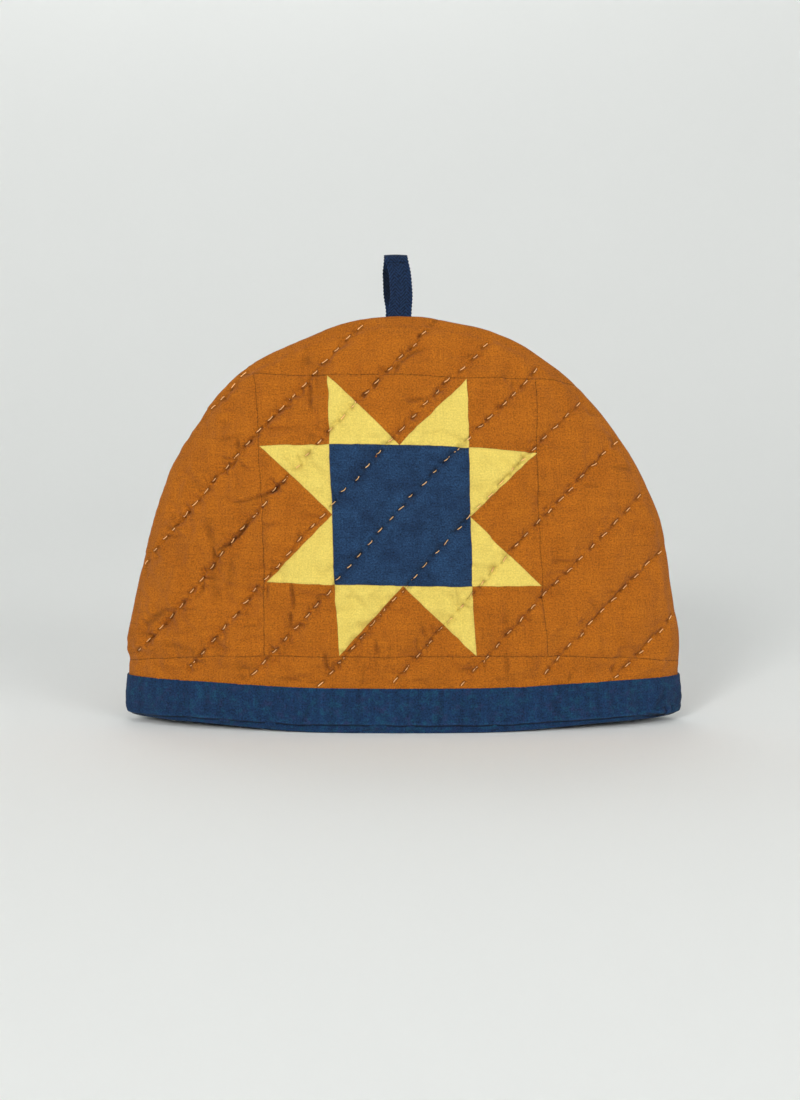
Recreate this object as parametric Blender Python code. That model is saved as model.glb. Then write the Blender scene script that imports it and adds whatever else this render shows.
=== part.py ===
"""A quilted tea cosy that stands open on its hem.

Two padded panels meet on a curved seam that runs from one lower corner, over the
dome, to the other. A binding wraps the lower edges of both panels in one closed
ring, and a loop of tape stands in the seam at the top. Metres, +Z up, the front
faces -Y, and the origin is on the surface, under the middle of the hem.
"""
import math

import bmesh
import bpy
from mathutils import Vector
from mathutils.geometry import delaunay_2d_cdt

# Dome: (|x| / HALF_WIDTH)^SIDE_POWER + (z / DOME_HEIGHT)^TOP_POWER = 1 on the seam,
# and each panel bows out from the seam's plane by HALF_DEPTH at the hem.
HALF_WIDTH = 0.170
DOME_HEIGHT = 0.249
HALF_DEPTH = 0.045
SIDE_POWER = 2.1
TOP_POWER = 2.55
BOW_POWER = 0.6
DEPTH_TAPER = 0.25          # share of the depth that is lost from hem to top
LEAST_SHARE = 1e-4          # keeps the normal finite on the seam

# Panels
WALL = 0.007                # cloth, wadding and cloth
SEAM_INSET = 0.009          # from the edge of the dome in to the inner end of the seam
SEAM_GAP = 0.00015          # half of the gap between the two panels
CREASE_DEPTH = 0.0035       # how far the seam is drawn in between the puffed edges
CREASE_REACH = 0.0010
PANEL_FOOT = 0.0017         # the panels end this far above the surface
OUTER_RINGS = (0.0008, 0.0020, 0.0040, 0.0065)   # distances from the seam's plane
INNER_RINGS = (0.0015, 0.0045, 0.0090)
RIM_STEP = 0.0072
RIM_SAMPLES = 6000
RIM_MARGIN = 0.05           # points inside a face keep this far from its rim, in level
FOOT_MARGIN = 0.006         # and this far from its foot
MERGE_DISTANCE = 1e-7
ROUNDING = 2e-6

# Quilting: straight rows of stitches that rise to the right
ROW_ANGLE = math.radians(47)
ROW_PITCH = 0.0322
FIRST_ROW = -0.2185         # offset of the upper left row, across the rows
ROW_COUNT = 10
ROW_DEPTH = 0.0024
ROW_SHARPNESS = 0.6
ROLL_LINES = (0.0, 0.13, 0.31, 0.5, 0.69, 0.87)  # shares of the pitch that carry points
ROLL_STEP = 0.0125
ROLL_REACH = 28             # steps to each side of the middle
PLAIN_STEP = 0.0145
PLAIN_REACH = 14
EDGE_SHARE = 0.5            # the quilting keeps this share of its depth on the seam
EDGE_REACH = 0.3            # and has all of it from this level inwards
HEM_PLAIN = (0.028, 0.042)  # the quilting rises between these heights

# Hem band: cloth folded over the lower edges
BAND_STATIONS = 92
BAND_SAMPLES = 4000
TURN_WEIGHT = 0.02          # metres of length that a radian of turning counts for
TURN_STEP = 0.01
BAND_GAP = 0.0003
BAND_INNER_GAP = 0.0007
BAND_TUCK = (0.0009, 0.0020)    # it dips over the seam by this much, within this reach
BAND_SECTION = (            # shell it follows, distance outwards from it, height
    ("outer", BAND_GAP, 0.0268),
    ("outer", BAND_GAP + 0.0009, 0.0272),
    ("outer", BAND_GAP + 0.0013, 0.0260),
    ("outer", BAND_GAP + 0.0014, 0.0160),
    ("outer", BAND_GAP + 0.0013, 0.0072),
    ("outer", BAND_GAP + 0.0007, 0.0052),
    ("outer", BAND_GAP + 0.0014, 0.0036),
    ("outer", BAND_GAP + 0.0009, 0.0010),
    ("outer", -0.0006, 0.0),
    ("inner", 0.0006, 0.0),
    ("inner", -BAND_INNER_GAP - 0.0010, 0.0010),
    ("inner", -BAND_INNER_GAP - 0.0013, 0.0100),
    ("inner", -BAND_INNER_GAP - 0.0010, 0.0190),
    ("inner", -BAND_INNER_GAP, 0.0190),
    ("inner", -BAND_INNER_GAP, 0.0014),
    ("outer", BAND_GAP, 0.0014),
)

# Hanging loop: one length of tape, both ends in the seam
TAPE_WIDTH = 0.014
TAPE_THICKNESS = 0.0012
LOOP_X = -0.0034
LOOP_TOP = 0.2845
LOOP_LEAN = 0.0018          # the top leans this far to the left
LOOP_LEAN_FROM = 0.250
LOOP_RADIUS = 0.0042        # middle of the tape, round the top
LOOP_TWIST = 0.0018         # the back leg stands this far to the left of the front leg
LOOP_SPREAD = (0.250, 0.270)    # the legs part between these heights
LEG_STEPS = 14
TOP_STEPS = 12
TAPE_ROOT = DOME_HEIGHT - 0.0085
POCKET_HALF = TAPE_WIDTH / 2 + LOOP_TWIST / 2 + 0.0004
POCKET_EASE = 0.0016        # the pocket closes over this length at each side
POCKET_DEPTH = TAPE_THICKNESS + 0.0003

# Unevenness of hand work
SWAY = 0.0018               # sideways, along the height
SWAY_PERIOD = 0.154
SWAY_NODE = 0.166
SWAY_FOOT = 0.089
SIDE_LIFT = 0.0034          # the hem rises off the surface towards its corners
SIDE_LIFT_SPAN = (0.045, 0.135)
SIDE_LIFT_FADE = 0.060      # and this high up nothing is left of that
DENT_MIDDLE = 0.090         # dents move the outline straight to or from this height
DENTS = (                   # x, height, depth, radius; a bulge has a negative depth
    (-0.062, 0.236, 0.0024, 0.022),
    (-0.129, 0.187, 0.0017, 0.020),
    (-0.166, 0.095, 0.0015, 0.018),
    (0.033, 0.244, 0.0013, 0.016),
    (-0.170, 0.055, -0.0015, 0.014),
    (0.170, 0.055, -0.0018, 0.014),
)

# Looks
SHARP_FROM = math.radians(50)
RUST = (0.434, 0.133, 0.014, 1)
NAVY = (0.016, 0.045, 0.105, 1)


class Shell:
    """One face of the padded cloth, outer or inner, as a bowed dome."""

    def __init__(self, inset, wall):
        self.width = HALF_WIDTH - inset
        self.height = DOME_HEIGHT - inset
        self.depth = HALF_DEPTH - wall

    def level(self, x, z):
        return (abs(x) / self.width) ** SIDE_POWER + (max(z, 0) / self.height) ** TOP_POWER

    def reach(self, z):
        return self.depth * (1 - DEPTH_TAPER * z / self.height)

    def bow(self, x, z):
        return self.reach(z) * max(1 - self.level(x, z), 0) ** BOW_POWER

    def edge(self, angle, share=1.0):
        """Point of the curve where level() is share, angle 0 at +X and pi/2 on top."""
        x = self.width * (share * math.cos(angle) ** 2) ** (1 / SIDE_POWER)
        z = self.height * (share * math.sin(angle) ** 2) ** (1 / TOP_POWER)
        return math.copysign(x, math.cos(angle)), z

    def share_at(self, distance, z):
        """Level of the surface at this distance from the seam's plane."""
        return 1 - (distance / self.reach(z)) ** (1 / BOW_POWER)

    def slope(self, x, z):
        """Outward direction of the level curve through x, z."""
        across = math.copysign(SIDE_POWER / self.width * (abs(x) / self.width) ** (SIDE_POWER - 1), x)
        along = TOP_POWER / self.height * (max(z, 0) / self.height) ** (TOP_POWER - 1)
        return across, along

    def normal(self, x, z):
        """Outward direction of the front surface above x, z."""
        across, along = self.slope(x, z)
        share = max(1 - self.level(x, z), LEAST_SHARE)
        outward = share ** (1 - BOW_POWER) / (BOW_POWER * self.reach(z))
        return Vector((across, -outward, along)).normalized()

    def plan(self, angle, z):
        """Point of the horizontal section at z, angle 0 at +X and pi/2 at the back."""
        share = 1 - (z / self.height) ** TOP_POWER
        x = self.width * (share * math.cos(angle) ** 2) ** (1 / SIDE_POWER)
        y = self.reach(z) * (share * math.sin(angle) ** 2) ** BOW_POWER
        return Vector((math.copysign(x, math.cos(angle)), math.copysign(y, math.sin(angle)), z))


OUTER = Shell(0, 0)
INNER = Shell(SEAM_INSET, WALL)
SHELLS = {"outer": OUTER, "inner": INNER}


def clamp(value):
    return min(max(value, 0.0), 1.0)


def smooth(start, end, value):
    share = clamp((value - start) / (end - start))
    return share * share * (3 - 2 * share)


def settle(x, y, z):
    """Where a point of the even cosy lies once the hand-made one leans, lifts and dents."""
    sway = 0.0
    if z > SWAY_FOOT:
        height = min(z, DOME_HEIGHT)
        sway = -SWAY * math.sin(math.tau * (height - SWAY_NODE) / SWAY_PERIOD)
    lift = SIDE_LIFT * smooth(*SIDE_LIFT_SPAN, abs(x)) * clamp(1 - z / SIDE_LIFT_FADE)
    outward = Vector((x, 0, z - DENT_MIDDLE)).normalized()
    dent = 0.0
    for place, height, depth, radius in DENTS:
        dent += depth * math.exp(-((x - place) ** 2 + (z - height) ** 2) / radius ** 2)
    return Vector((x + sway, y, z + lift)) - outward * dent


def spread(points, count):
    """Indices of count points, evenly spaced by length and turning."""
    travelled = [0.0]
    heading = None
    for here, there in zip(points, points[1:]):
        step = there - here
        turn = step.angle(heading, 0.0) if heading else 0.0
        travelled.append(travelled[-1] + step.length + TURN_WEIGHT * turn)
        heading = step
    picked = []
    index = 0
    for number in range(count):
        goal = travelled[-1] * number / (count - 1)
        while travelled[index] < goal - ROUNDING:
            index += 1
        picked.append(index)
    return picked


def rim_angles():
    """Angles along the seam, left foot to right foot, with stations at the pocket."""
    angles = [math.pi * (1 - number / RIM_SAMPLES) for number in range(RIM_SAMPLES + 1)]
    angles = [angle for angle in angles if OUTER.edge(angle)[1] >= PANEL_FOOT]
    points = [Vector(OUTER.edge(angle)) for angle in angles]
    travelled = [0.0]
    for here, there in zip(points, points[1:]):
        travelled.append(travelled[-1] + (there - here).length)
    middle = next(travelled[i] for i, point in enumerate(points) if point.x >= LOOP_X)
    pocket = (0.0, 0.5 * POCKET_HALF, POCKET_HALF, POCKET_HALF + POCKET_EASE)
    goals = []
    for sign, length in ((-1, middle), (1, travelled[-1] - middle)):
        steps = round((length - pocket[-1]) / RIM_STEP)
        far = [pocket[-1] + (length - pocket[-1]) * step / steps for step in range(1, steps + 1)]
        goals += [middle + sign * distance for distance in pocket + tuple(far)]
    goals = sorted(set(round(goal, 6) for goal in goals))
    picked = []
    index = 0
    for goal in goals:
        while index < len(travelled) - 1 and travelled[index] < goal - ROUNDING:
            index += 1
        picked.append(angles[index])
    return picked


def row_phase(x, z):
    """Place across the quilting, a whole number on each row of stitches."""
    across = x * math.sin(ROW_ANGLE) - z * math.cos(ROW_ANGLE)
    return (across - FIRST_ROW) / ROW_PITCH


def quilt_dip(x, z):
    """Depth of the quilted surface below the crown of its rolls."""
    valley = 1 - abs(math.sin(math.pi * row_phase(x, z))) ** ROW_SHARPNESS
    edge = EDGE_SHARE + (1 - EDGE_SHARE) * clamp((1 - OUTER.level(x, z)) / EDGE_REACH)
    return ROW_DEPTH * valley * edge * smooth(*HEM_PLAIN, z)


def pocket_at(x):
    """Half gap between the panels, wider where the tape's ends lie between them."""
    inside = clamp((POCKET_HALF + POCKET_EASE - abs(x - LOOP_X)) / POCKET_EASE)
    return SEAM_GAP + POCKET_DEPTH * inside


def outer_ring(angles, distance):
    """Edge of a panel's face at one distance from the seam's plane."""
    ring = []
    for angle in angles:
        x, z = OUTER.edge(angle)
        distance_here = max(distance, pocket_at(x))
        share = OUTER.share_at(distance_here, z)
        px, pz = OUTER.edge(angle, share)
        slope = Vector(OUTER.slope(x, z)).normalized()
        inset = CREASE_DEPTH * math.exp(-distance / CREASE_REACH)
        if distance > SEAM_GAP:
            inset += quilt_dip(x, z) * OUTER.normal(px, pz).xz.length
        ring.append(Vector((px - slope.x * inset, -distance_here, max(pz - slope.y * inset, PANEL_FOOT))))
    ring[0].z = ring[-1].z = PANEL_FOOT
    return ring


def inner_ring(angles, distance):
    ring = []
    for angle in angles:
        x, z = INNER.edge(angle)
        distance_here = max(distance, pocket_at(x))
        px, pz = INNER.edge(angle, INNER.share_at(distance, z) if distance > SEAM_GAP else 1.0)
        ring.append(Vector((px, -distance_here, max(pz, PANEL_FOOT))))
    ring[0].z = ring[-1].z = PANEL_FOOT
    return ring


def along_hem(shell, ring):
    """Points of the face's lower edge, right to left, between the ends of a ring."""
    left, right = ring[0].x, ring[-1].x
    count = round((right - left) / ROLL_STEP)
    xs = [right + (left - right) * number / count for number in range(1, count)]
    return [Vector((x, -shell.bow(x, PANEL_FOOT), PANEL_FOOT)) for x in xs]


def inside(x, z, border_share, shell):
    return shell.level(x, z) < border_share - RIM_MARGIN and z > PANEL_FOOT + FOOT_MARGIN


def roll_points(shell, border_share):
    """Points on lines along the rows of quilting, from valley to crown."""
    along = Vector((math.cos(ROW_ANGLE), math.sin(ROW_ANGLE)))
    across = Vector((math.sin(ROW_ANGLE), -math.cos(ROW_ANGLE)))
    points = []
    for row in range(-2, ROW_COUNT + 2):
        for number, share in enumerate(ROLL_LINES):
            start = across * (FIRST_ROW + (row + share) * ROW_PITCH)
            shift = ROLL_STEP / 2 * (number % 2)
            for step in range(-ROLL_REACH, ROLL_REACH + 1):
                x, z = start + along * (step * ROLL_STEP + shift)
                if inside(x, z, border_share, shell):
                    points.append((x, z))
    return points


def plain_points(shell, border_share):
    """An even triangular lattice."""
    points = []
    rise = PLAIN_STEP * math.sqrt(3) / 2
    for row in range(int(DOME_HEIGHT / rise) + 1):
        for column in range(-PLAIN_REACH, PLAIN_REACH + 1):
            x = (column + 0.5 * (row % 2)) * PLAIN_STEP
            if inside(x, row * rise, border_share, shell):
                points.append((x, row * rise))
    return points


def fill_face(mesh, border, plan, spots=(), lifted=()):
    """Triangles over a border of existing vertices and more points within it.

    The plan is the border laid flat, and each of the spots is the flat place of
    the lifted point with the same number.
    """
    flat = [Vector(place) for place in plan + list(spots)]
    edges = [(number, (number + 1) % len(border)) for number in range(len(border))]
    _, _, faces, origins, _, _ = delaunay_2d_cdt(flat, edges, [], 1, MERGE_DISTANCE)
    vertices = border + [mesh.verts.new(point) for point in lifted]
    chosen = [vertices[source[0]] for source in origins]
    for face in faces:
        mesh.faces.new([chosen[corner] for corner in face])


def join_rings(mesh, ring, other):
    for number in range(len(ring) - 1):
        mesh.faces.new((ring[number], ring[number + 1], other[number + 1], other[number]))


def lift_outer(x, z):
    """Point of the quilted outer face above x, z."""
    shift = OUTER.normal(x, z) * quilt_dip(x, z)
    return Vector((x, -OUTER.bow(x, z), z)) - shift


def build_panel(name, side, material):
    """A padded panel, side -1 for the front and 1 for the back."""
    mesh = bmesh.new()
    angles = rim_angles()

    def add(points):
        return [mesh.verts.new(point) for point in points]

    crease = add(outer_ring(angles, SEAM_GAP))
    outer = [add(outer_ring(angles, distance)) for distance in OUTER_RINGS]
    seam_end = add(inner_ring(angles, SEAM_GAP))
    inner = [add(inner_ring(angles, distance)) for distance in INNER_RINGS]
    join_rings(mesh, seam_end, crease)
    for ring, other in zip([crease] + outer, outer):
        join_rings(mesh, ring, other)
    for ring, other in zip([seam_end] + inner, inner):
        join_rings(mesh, ring, other)

    feet = {}
    for key, shell, rim, distance, scatter in (
        ("outer", OUTER, outer[-1], OUTER_RINGS[-1], roll_points),
        ("inner", INNER, inner[-1], INNER_RINGS[-1], plain_points),
    ):
        foot = add(along_hem(shell, [rim[0].co, rim[-1].co]))
        spots = scatter(shell, shell.share_at(distance, DOME_HEIGHT / 2))
        if key == "outer":
            lifted = [lift_outer(x, z) for x, z in spots]
        else:
            lifted = [Vector((x, -shell.bow(x, z), z)) for x, z in spots]
        border = rim + foot
        fill_face(mesh, border, [vertex.co.xz for vertex in border], spots, lifted)
        feet[key] = foot

    # the foot of the panel, a strip between the lower edges of both faces
    rings = [seam_end, crease] + outer
    left = [ring[0] for ring in rings]
    right = [ring[-1] for ring in rings]
    outline = left + feet["outer"][::-1] + right[::-1]
    outline += [ring[-1] for ring in inner] + feet["inner"] + [ring[0] for ring in reversed(inner)]
    fill_face(mesh, outline, [vertex.co.xy for vertex in outline])

    for vertex in mesh.verts:
        x, y, z = vertex.co
        vertex.co = settle(x, -side * y, z)
    return finish(name, mesh, material)


def build_band(name, material):
    """The binding, its section swept round the hem."""
    angles = [math.tau * number / BAND_SAMPLES for number in range(BAND_SAMPLES + 1)]
    points = [OUTER.plan(angle, 0.0) for angle in angles]
    stations = [angles[index] for index in spread(points, BAND_STATIONS + 1)][:-1]
    mesh = bmesh.new()
    rings = []
    for angle in stations:
        ring = []
        for shell, offset, height in BAND_SECTION:
            turns = (-TURN_STEP, 0, TURN_STEP)
            before, here, after = (SHELLS[shell].plan(angle + turn, height) for turn in turns)
            step = after - before
            outward = Vector((step.y, -step.x, 0)).normalized()
            if shell == "outer":
                offset -= BAND_TUCK[0] * math.exp(-(here.y / BAND_TUCK[1]) ** 2)
            x, y, _ = here + outward * offset
            ring.append(mesh.verts.new(settle(x, y, height)))
        rings.append(ring)
    count = len(BAND_SECTION)
    for ring, other in zip(rings, rings[1:] + rings[:1]):
        for corner in range(count):
            after = (corner + 1) % count
            mesh.faces.new((ring[corner], ring[after], other[after], other[corner]))
    return finish(name, mesh, material)


def loop_path():
    """Middle of the tape as (side, height), up the front leg, over and down the back."""
    crown = LOOP_TOP - TAPE_THICKNESS / 2 - LOOP_RADIUS
    narrow = SEAM_GAP + TAPE_THICKNESS / 2
    leg = []
    for step in range(LEG_STEPS):
        height = TAPE_ROOT + (crown - TAPE_ROOT) * step / LEG_STEPS
        side = narrow + (LOOP_RADIUS - narrow) * smooth(*LOOP_SPREAD, height)
        leg.append((-side, height))
    top = []
    for step in range(TOP_STEPS + 1):
        angle = math.pi * (1 - step / TOP_STEPS)
        top.append((LOOP_RADIUS * math.cos(angle), crown + LOOP_RADIUS * math.sin(angle)))
    return leg + top + [(-side, height) for side, height in reversed(leg)]


def build_loop(name, material):
    """The tape, a flat section with soft edges swept along the loop."""
    path = loop_path()
    half, thick = TAPE_WIDTH / 2, TAPE_THICKNESS / 2
    section = (
        (-half, -thick / 2), (-half + thick, -thick), (half - thick, -thick), (half, -thick / 2),
        (half, thick / 2), (half - thick, thick), (-half + thick, thick), (-half, thick / 2),
    )
    mesh = bmesh.new()
    rings = []
    for number, (side, height) in enumerate(path):
        before = Vector(path[max(number - 1, 0)])
        after = Vector(path[min(number + 1, len(path) - 1)])
        run = (after - before).normalized()
        twist = -LOOP_TWIST * (number / (len(path) - 1) - 0.5)
        twist -= LOOP_LEAN * clamp((height - LOOP_LEAN_FROM) / (LOOP_TOP - LOOP_LEAN_FROM))
        ring = []
        for across, out in section:
            y = side - run.y * out
            z = height + run.x * out
            ring.append(mesh.verts.new(settle(LOOP_X + twist + across, y, z)))
        rings.append(ring)
    count = len(section)
    for ring, other in zip(rings, rings[1:]):
        for corner in range(count):
            after = (corner + 1) % count
            mesh.faces.new((ring[corner], ring[after], other[after], other[corner]))
    mesh.faces.new(rings[0])
    mesh.faces.new(rings[-1])
    return finish(name, mesh, material)


def finish(name, mesh, material):
    """Turn the bmesh into a named object with its faces pointing out."""
    bmesh.ops.recalc_face_normals(mesh, faces=mesh.faces[:])
    data = bpy.data.meshes.new(name)
    mesh.to_mesh(data)
    mesh.free()
    data.shade_smooth()
    data.set_sharp_from_angle(angle=SHARP_FROM)
    data.materials.append(material)
    piece = bpy.data.objects.new(name, data)
    bpy.context.scene.collection.objects.link(piece)
    return piece


def cloth(name, colour, roughness):
    material = bpy.data.materials.new(name)
    material.use_nodes = True
    shader = material.node_tree.nodes["Principled BSDF"]
    shader.inputs["Base Color"].default_value = colour
    shader.inputs["Roughness"].default_value = roughness
    shader.inputs["Metallic"].default_value = 0.0
    return material


def main():
    for thing in list(bpy.data.objects):
        bpy.data.objects.remove(thing, do_unlink=True)
    build_panel("front_panel", -1, cloth("front quilted cotton", RUST, 0.9))
    build_panel("back_panel", 1, cloth("back quilted cotton", RUST, 0.9))
    build_band("hem_band", cloth("band cotton", NAVY, 0.9))
    build_loop("hanging_loop", cloth("twill tape", NAVY, 0.85))


main()
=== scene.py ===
import math
import random

import bmesh
import bpy
import numpy as np
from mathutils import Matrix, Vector, kdtree, noise
from mathutils.geometry import delaunay_2d_cdt


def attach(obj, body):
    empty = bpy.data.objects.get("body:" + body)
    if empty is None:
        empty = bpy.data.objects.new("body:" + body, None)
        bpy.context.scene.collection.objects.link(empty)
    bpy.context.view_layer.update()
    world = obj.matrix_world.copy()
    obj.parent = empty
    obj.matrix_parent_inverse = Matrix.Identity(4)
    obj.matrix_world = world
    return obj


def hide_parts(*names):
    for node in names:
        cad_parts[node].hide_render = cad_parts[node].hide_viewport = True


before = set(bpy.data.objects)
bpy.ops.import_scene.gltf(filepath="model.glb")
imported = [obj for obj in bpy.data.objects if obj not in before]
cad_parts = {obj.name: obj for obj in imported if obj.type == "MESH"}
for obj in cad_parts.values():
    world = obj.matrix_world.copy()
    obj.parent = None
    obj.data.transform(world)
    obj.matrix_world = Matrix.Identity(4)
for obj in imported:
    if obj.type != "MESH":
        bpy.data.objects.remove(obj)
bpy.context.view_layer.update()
print("frame loaded")

# the cosy's own sizes, in metres; the front faces -Y
cosy = {
    "halfWidth": 0.170,
    "height": 0.249,
    "halfDepth": 0.045,
    "sidePower": 2.1,
    "topPower": 2.55,
    "bowPower": 0.6,
    "depthTaper": 0.25,
    "wall": 0.007,
    "seamInset": 0.009,
    "seamGap": 0.00003,
    "creaseDepth": 0.0035,
    "creaseReach": 0.0010,
    "foot": 0.0017,
    "sway": 0.0018,
    "swayPeriod": 0.154,
    "swayNode": 0.166,
    "swayFoot": 0.089,
    "sideLift": 0.0038,
    "sideLiftSpan": (0.045, 0.135),
    "sideLiftFade": 0.060,
    "corner": 0.0062,           # the lower corners are rounded
    "cornerSpan": (0.130, 0.166),
    "dentMiddle": 0.090,
    # x, height, depth and radius; a bulge has a negative depth
    "dents": (
        (-0.062, 0.236, 0.0024, 0.022),
        (-0.129, 0.187, 0.0017, 0.020),
        (-0.166, 0.095, 0.0015, 0.018),
        (0.033, 0.244, 0.0013, 0.016),
        (-0.170, 0.055, -0.0015, 0.014),
        (0.170, 0.055, -0.0018, 0.014),
    ),
    "bandTop": 0.0270,
}


# small sums that work on arrays and on node sockets alike

def least(a, b):
    if isinstance(a, Flow):
        return a.join("MINIMUM", b)
    if isinstance(b, Flow):
        return b.join("MINIMUM", a)
    return np.minimum(a, b)


def most(a, b):
    if isinstance(a, Flow):
        return a.join("MAXIMUM", b)
    if isinstance(b, Flow):
        return b.join("MAXIMUM", a)
    return np.maximum(a, b)


def absolute(a):
    return a.join("ABSOLUTE") if isinstance(a, Flow) else np.abs(a)


def wave(a):
    return a.join("SINE") if isinstance(a, Flow) else np.sin(a)


def clip01(a):
    return least(most(a, 0.0), 1.0)


def below(value, edge, soft):
    # 1 where value is under edge, 0 over it, with a soft step between
    return clip01((edge - value) / soft + 0.5)


def ease(start, end, value):
    share = clip01((value - start) / (end - start))
    return share * share * (3 - 2 * share)


class Flow:
    # a socket that can be written in sums
    def __init__(self, shop, socket):
        self.shop = shop
        self.socket = socket

    def join(self, operation, other=None, swap=False):
        values = [self] if other is None else [self, other]
        if swap:
            values.reverse()
        return self.shop.math(operation, *values)

    def __add__(self, other):
        return self.join("ADD", other)

    def __sub__(self, other):
        return self.join("SUBTRACT", other)

    def __mul__(self, other):
        return self.join("MULTIPLY", other)

    def __truediv__(self, other):
        return self.join("DIVIDE", other)

    def __pow__(self, other):
        return self.join("POWER", other)

    def __neg__(self):
        return self.join("MULTIPLY", -1.0)

    def __rsub__(self, other):
        return self.join("SUBTRACT", other, swap=True)

    __radd__ = __add__
    __rmul__ = __mul__


class Shop:
    # makes nodes in one tree, shader or geometry
    def __init__(self, tree):
        self.tree = tree

    def plug(self, socket, value):
        if isinstance(value, Flow):
            self.tree.links.new(value.socket, socket)
        elif isinstance(value, bpy.types.NodeSocket):
            self.tree.links.new(value, socket)
        else:
            socket.default_value = value

    def node(self, kind, settings=None, inputs=None):
        made = self.tree.nodes.new(kind)
        for name, value in (settings or {}).items():
            setattr(made, name, value)
        for key, value in (inputs or {}).items():
            self.plug(made.inputs[key], value)
        return made

    def out(self, kind, settings=None, inputs=None, output=0):
        return self.node(kind, settings, inputs).outputs[output]

    def math(self, operation, *values):
        return Flow(self, self.out("ShaderNodeMath", {"operation": operation}, dict(enumerate(values))))

    def blend(self, factor, first, second):
        return self.out("ShaderNodeMix", {"data_type": "RGBA"}, {0: factor, 6: first, 7: second}, 2)

    def tint(self, colour, factor):
        # a colour made lighter or darker by a number
        return self.out("ShaderNodeVectorMath", {"operation": "SCALE"}, {0: colour, "Scale": factor})

    def vector(self, x, y, z=0.0):
        return self.out("ShaderNodeCombineXYZ", None, {0: x, 1: y, 2: z})

    def parts(self, vector):
        made = self.node("ShaderNodeSeparateXYZ", None, {0: vector})
        return [Flow(self, made.outputs[number]) for number in range(3)]

    def noise(self, vector, scale, detail=2.0, rough=0.5):
        inputs = {"Vector": vector, "Scale": scale, "Detail": detail, "Roughness": rough}
        return Flow(self, self.out("ShaderNodeTexNoise", {"noise_dimensions": "3D"}, inputs))


# the dome

class Shell:
    # one face of the padded cloth, outer or inner, as a bowed dome
    def __init__(self, inset, wall):
        self.width = cosy["halfWidth"] - inset
        self.height = cosy["height"] - inset
        self.depth = cosy["halfDepth"] - wall

    def level(self, x, z):
        across = (np.abs(x) / self.width) ** cosy["sidePower"]
        return across + (np.maximum(z, 0) / self.height) ** cosy["topPower"]

    def reach(self, z):
        return self.depth * (1 - cosy["depthTaper"] * z / self.height)

    def bow(self, x, z):
        return self.reach(z) * np.maximum(1 - self.level(x, z), 0) ** cosy["bowPower"]

    def edge(self, angle, share=1.0):
        x = self.width * (share * np.cos(angle) ** 2) ** (1 / cosy["sidePower"])
        z = self.height * (share * np.sin(angle) ** 2) ** (1 / cosy["topPower"])
        return np.copysign(x, np.cos(angle)), z

    def shareAt(self, distance, z):
        return 1 - (distance / self.reach(z)) ** (1 / cosy["bowPower"])

    def slope(self, x, z):
        side, top = cosy["sidePower"], cosy["topPower"]
        across = np.copysign(side / self.width * (np.abs(x) / self.width) ** (side - 1), x)
        along = top / self.height * (np.maximum(z, 0) / self.height) ** (top - 1)
        return across, along

    def normal(self, x, z):
        across, along = self.slope(x, z)
        share = np.maximum(1 - self.level(x, z), 1e-4)
        outward = share ** (1 - cosy["bowPower"]) / (cosy["bowPower"] * self.reach(z))
        normal = np.stack([across, -outward, along], axis=-1)
        return normal / np.linalg.norm(normal, axis=-1, keepdims=True)

    def plan(self, angle, z):
        share = 1 - (z / self.height) ** cosy["topPower"]
        x = self.width * (share * np.cos(angle) ** 2) ** (1 / cosy["sidePower"])
        y = self.reach(z) * (share * np.sin(angle) ** 2) ** cosy["bowPower"]
        return np.stack([np.copysign(x, np.cos(angle)), np.copysign(y, np.sin(angle))], axis=-1)


outerShell = Shell(0, 0)
innerShell = Shell(cosy["seamInset"], cosy["wall"])


def settle(points):
    # where the even dome's points lie once the hand-made one leans, lifts and dents
    x, y, z = points.T
    height = np.clip(z, cosy["swayFoot"], cosy["height"])
    sway = -cosy["sway"] * np.sin(math.tau * (height - cosy["swayNode"]) / cosy["swayPeriod"])
    sway = np.where(z > cosy["swayFoot"], sway, 0)
    lift = cosy["sideLift"] * ease(*cosy["sideLiftSpan"], np.abs(x)) * clip01(1 - z / cosy["sideLiftFade"])
    outward = np.stack([x, z - cosy["dentMiddle"]])
    outward /= np.hypot(*outward)
    dent = np.zeros_like(x)
    for place, high, depth, radius in cosy["dents"]:
        dent += depth * np.exp(-((x - place) ** 2 + (z - high) ** 2) / radius ** 2)
    low = clip01(1 - z / cosy["corner"])
    drawn = cosy["corner"] * (1 - np.sqrt(1 - low ** 2)) * np.sign(x) * ease(*cosy["cornerSpan"], np.abs(x))
    return np.stack([x + sway - drawn - outward[0] * dent, y, z + lift - outward[1] * dent], axis=-1)


def seenPlace(x, z):
    # where a flat place of the even dome shows
    moved = settle(np.stack([x, np.zeros_like(x), z], axis=-1))
    return moved[:, 0], moved[:, 2]


def evenPlace(x, z):
    # the other way round
    evenX, evenZ = x, z
    for _ in range(4):
        movedX, movedZ = seenPlace(evenX, evenZ)
        evenX, evenZ = evenX + x - movedX, evenZ + z - movedZ
    return evenX, evenZ


def roughness(points, scale, seed):
    # smooth noise, about -1 to 1, at each point
    shift = Vector((seed * 7.3, seed * 3.1, seed * 5.7))
    return np.array([noise.noise(Vector(point) * scale + shift) for point in points]) * 2


def unevenness(first, second, layer, seed):
    # the same over two lengths, each already stretched as it should be
    return roughness(np.stack(np.broadcast_arrays(first, second, layer), axis=-1), 1, seed)


# patchwork: one sawtooth star block with strips round it

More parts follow.
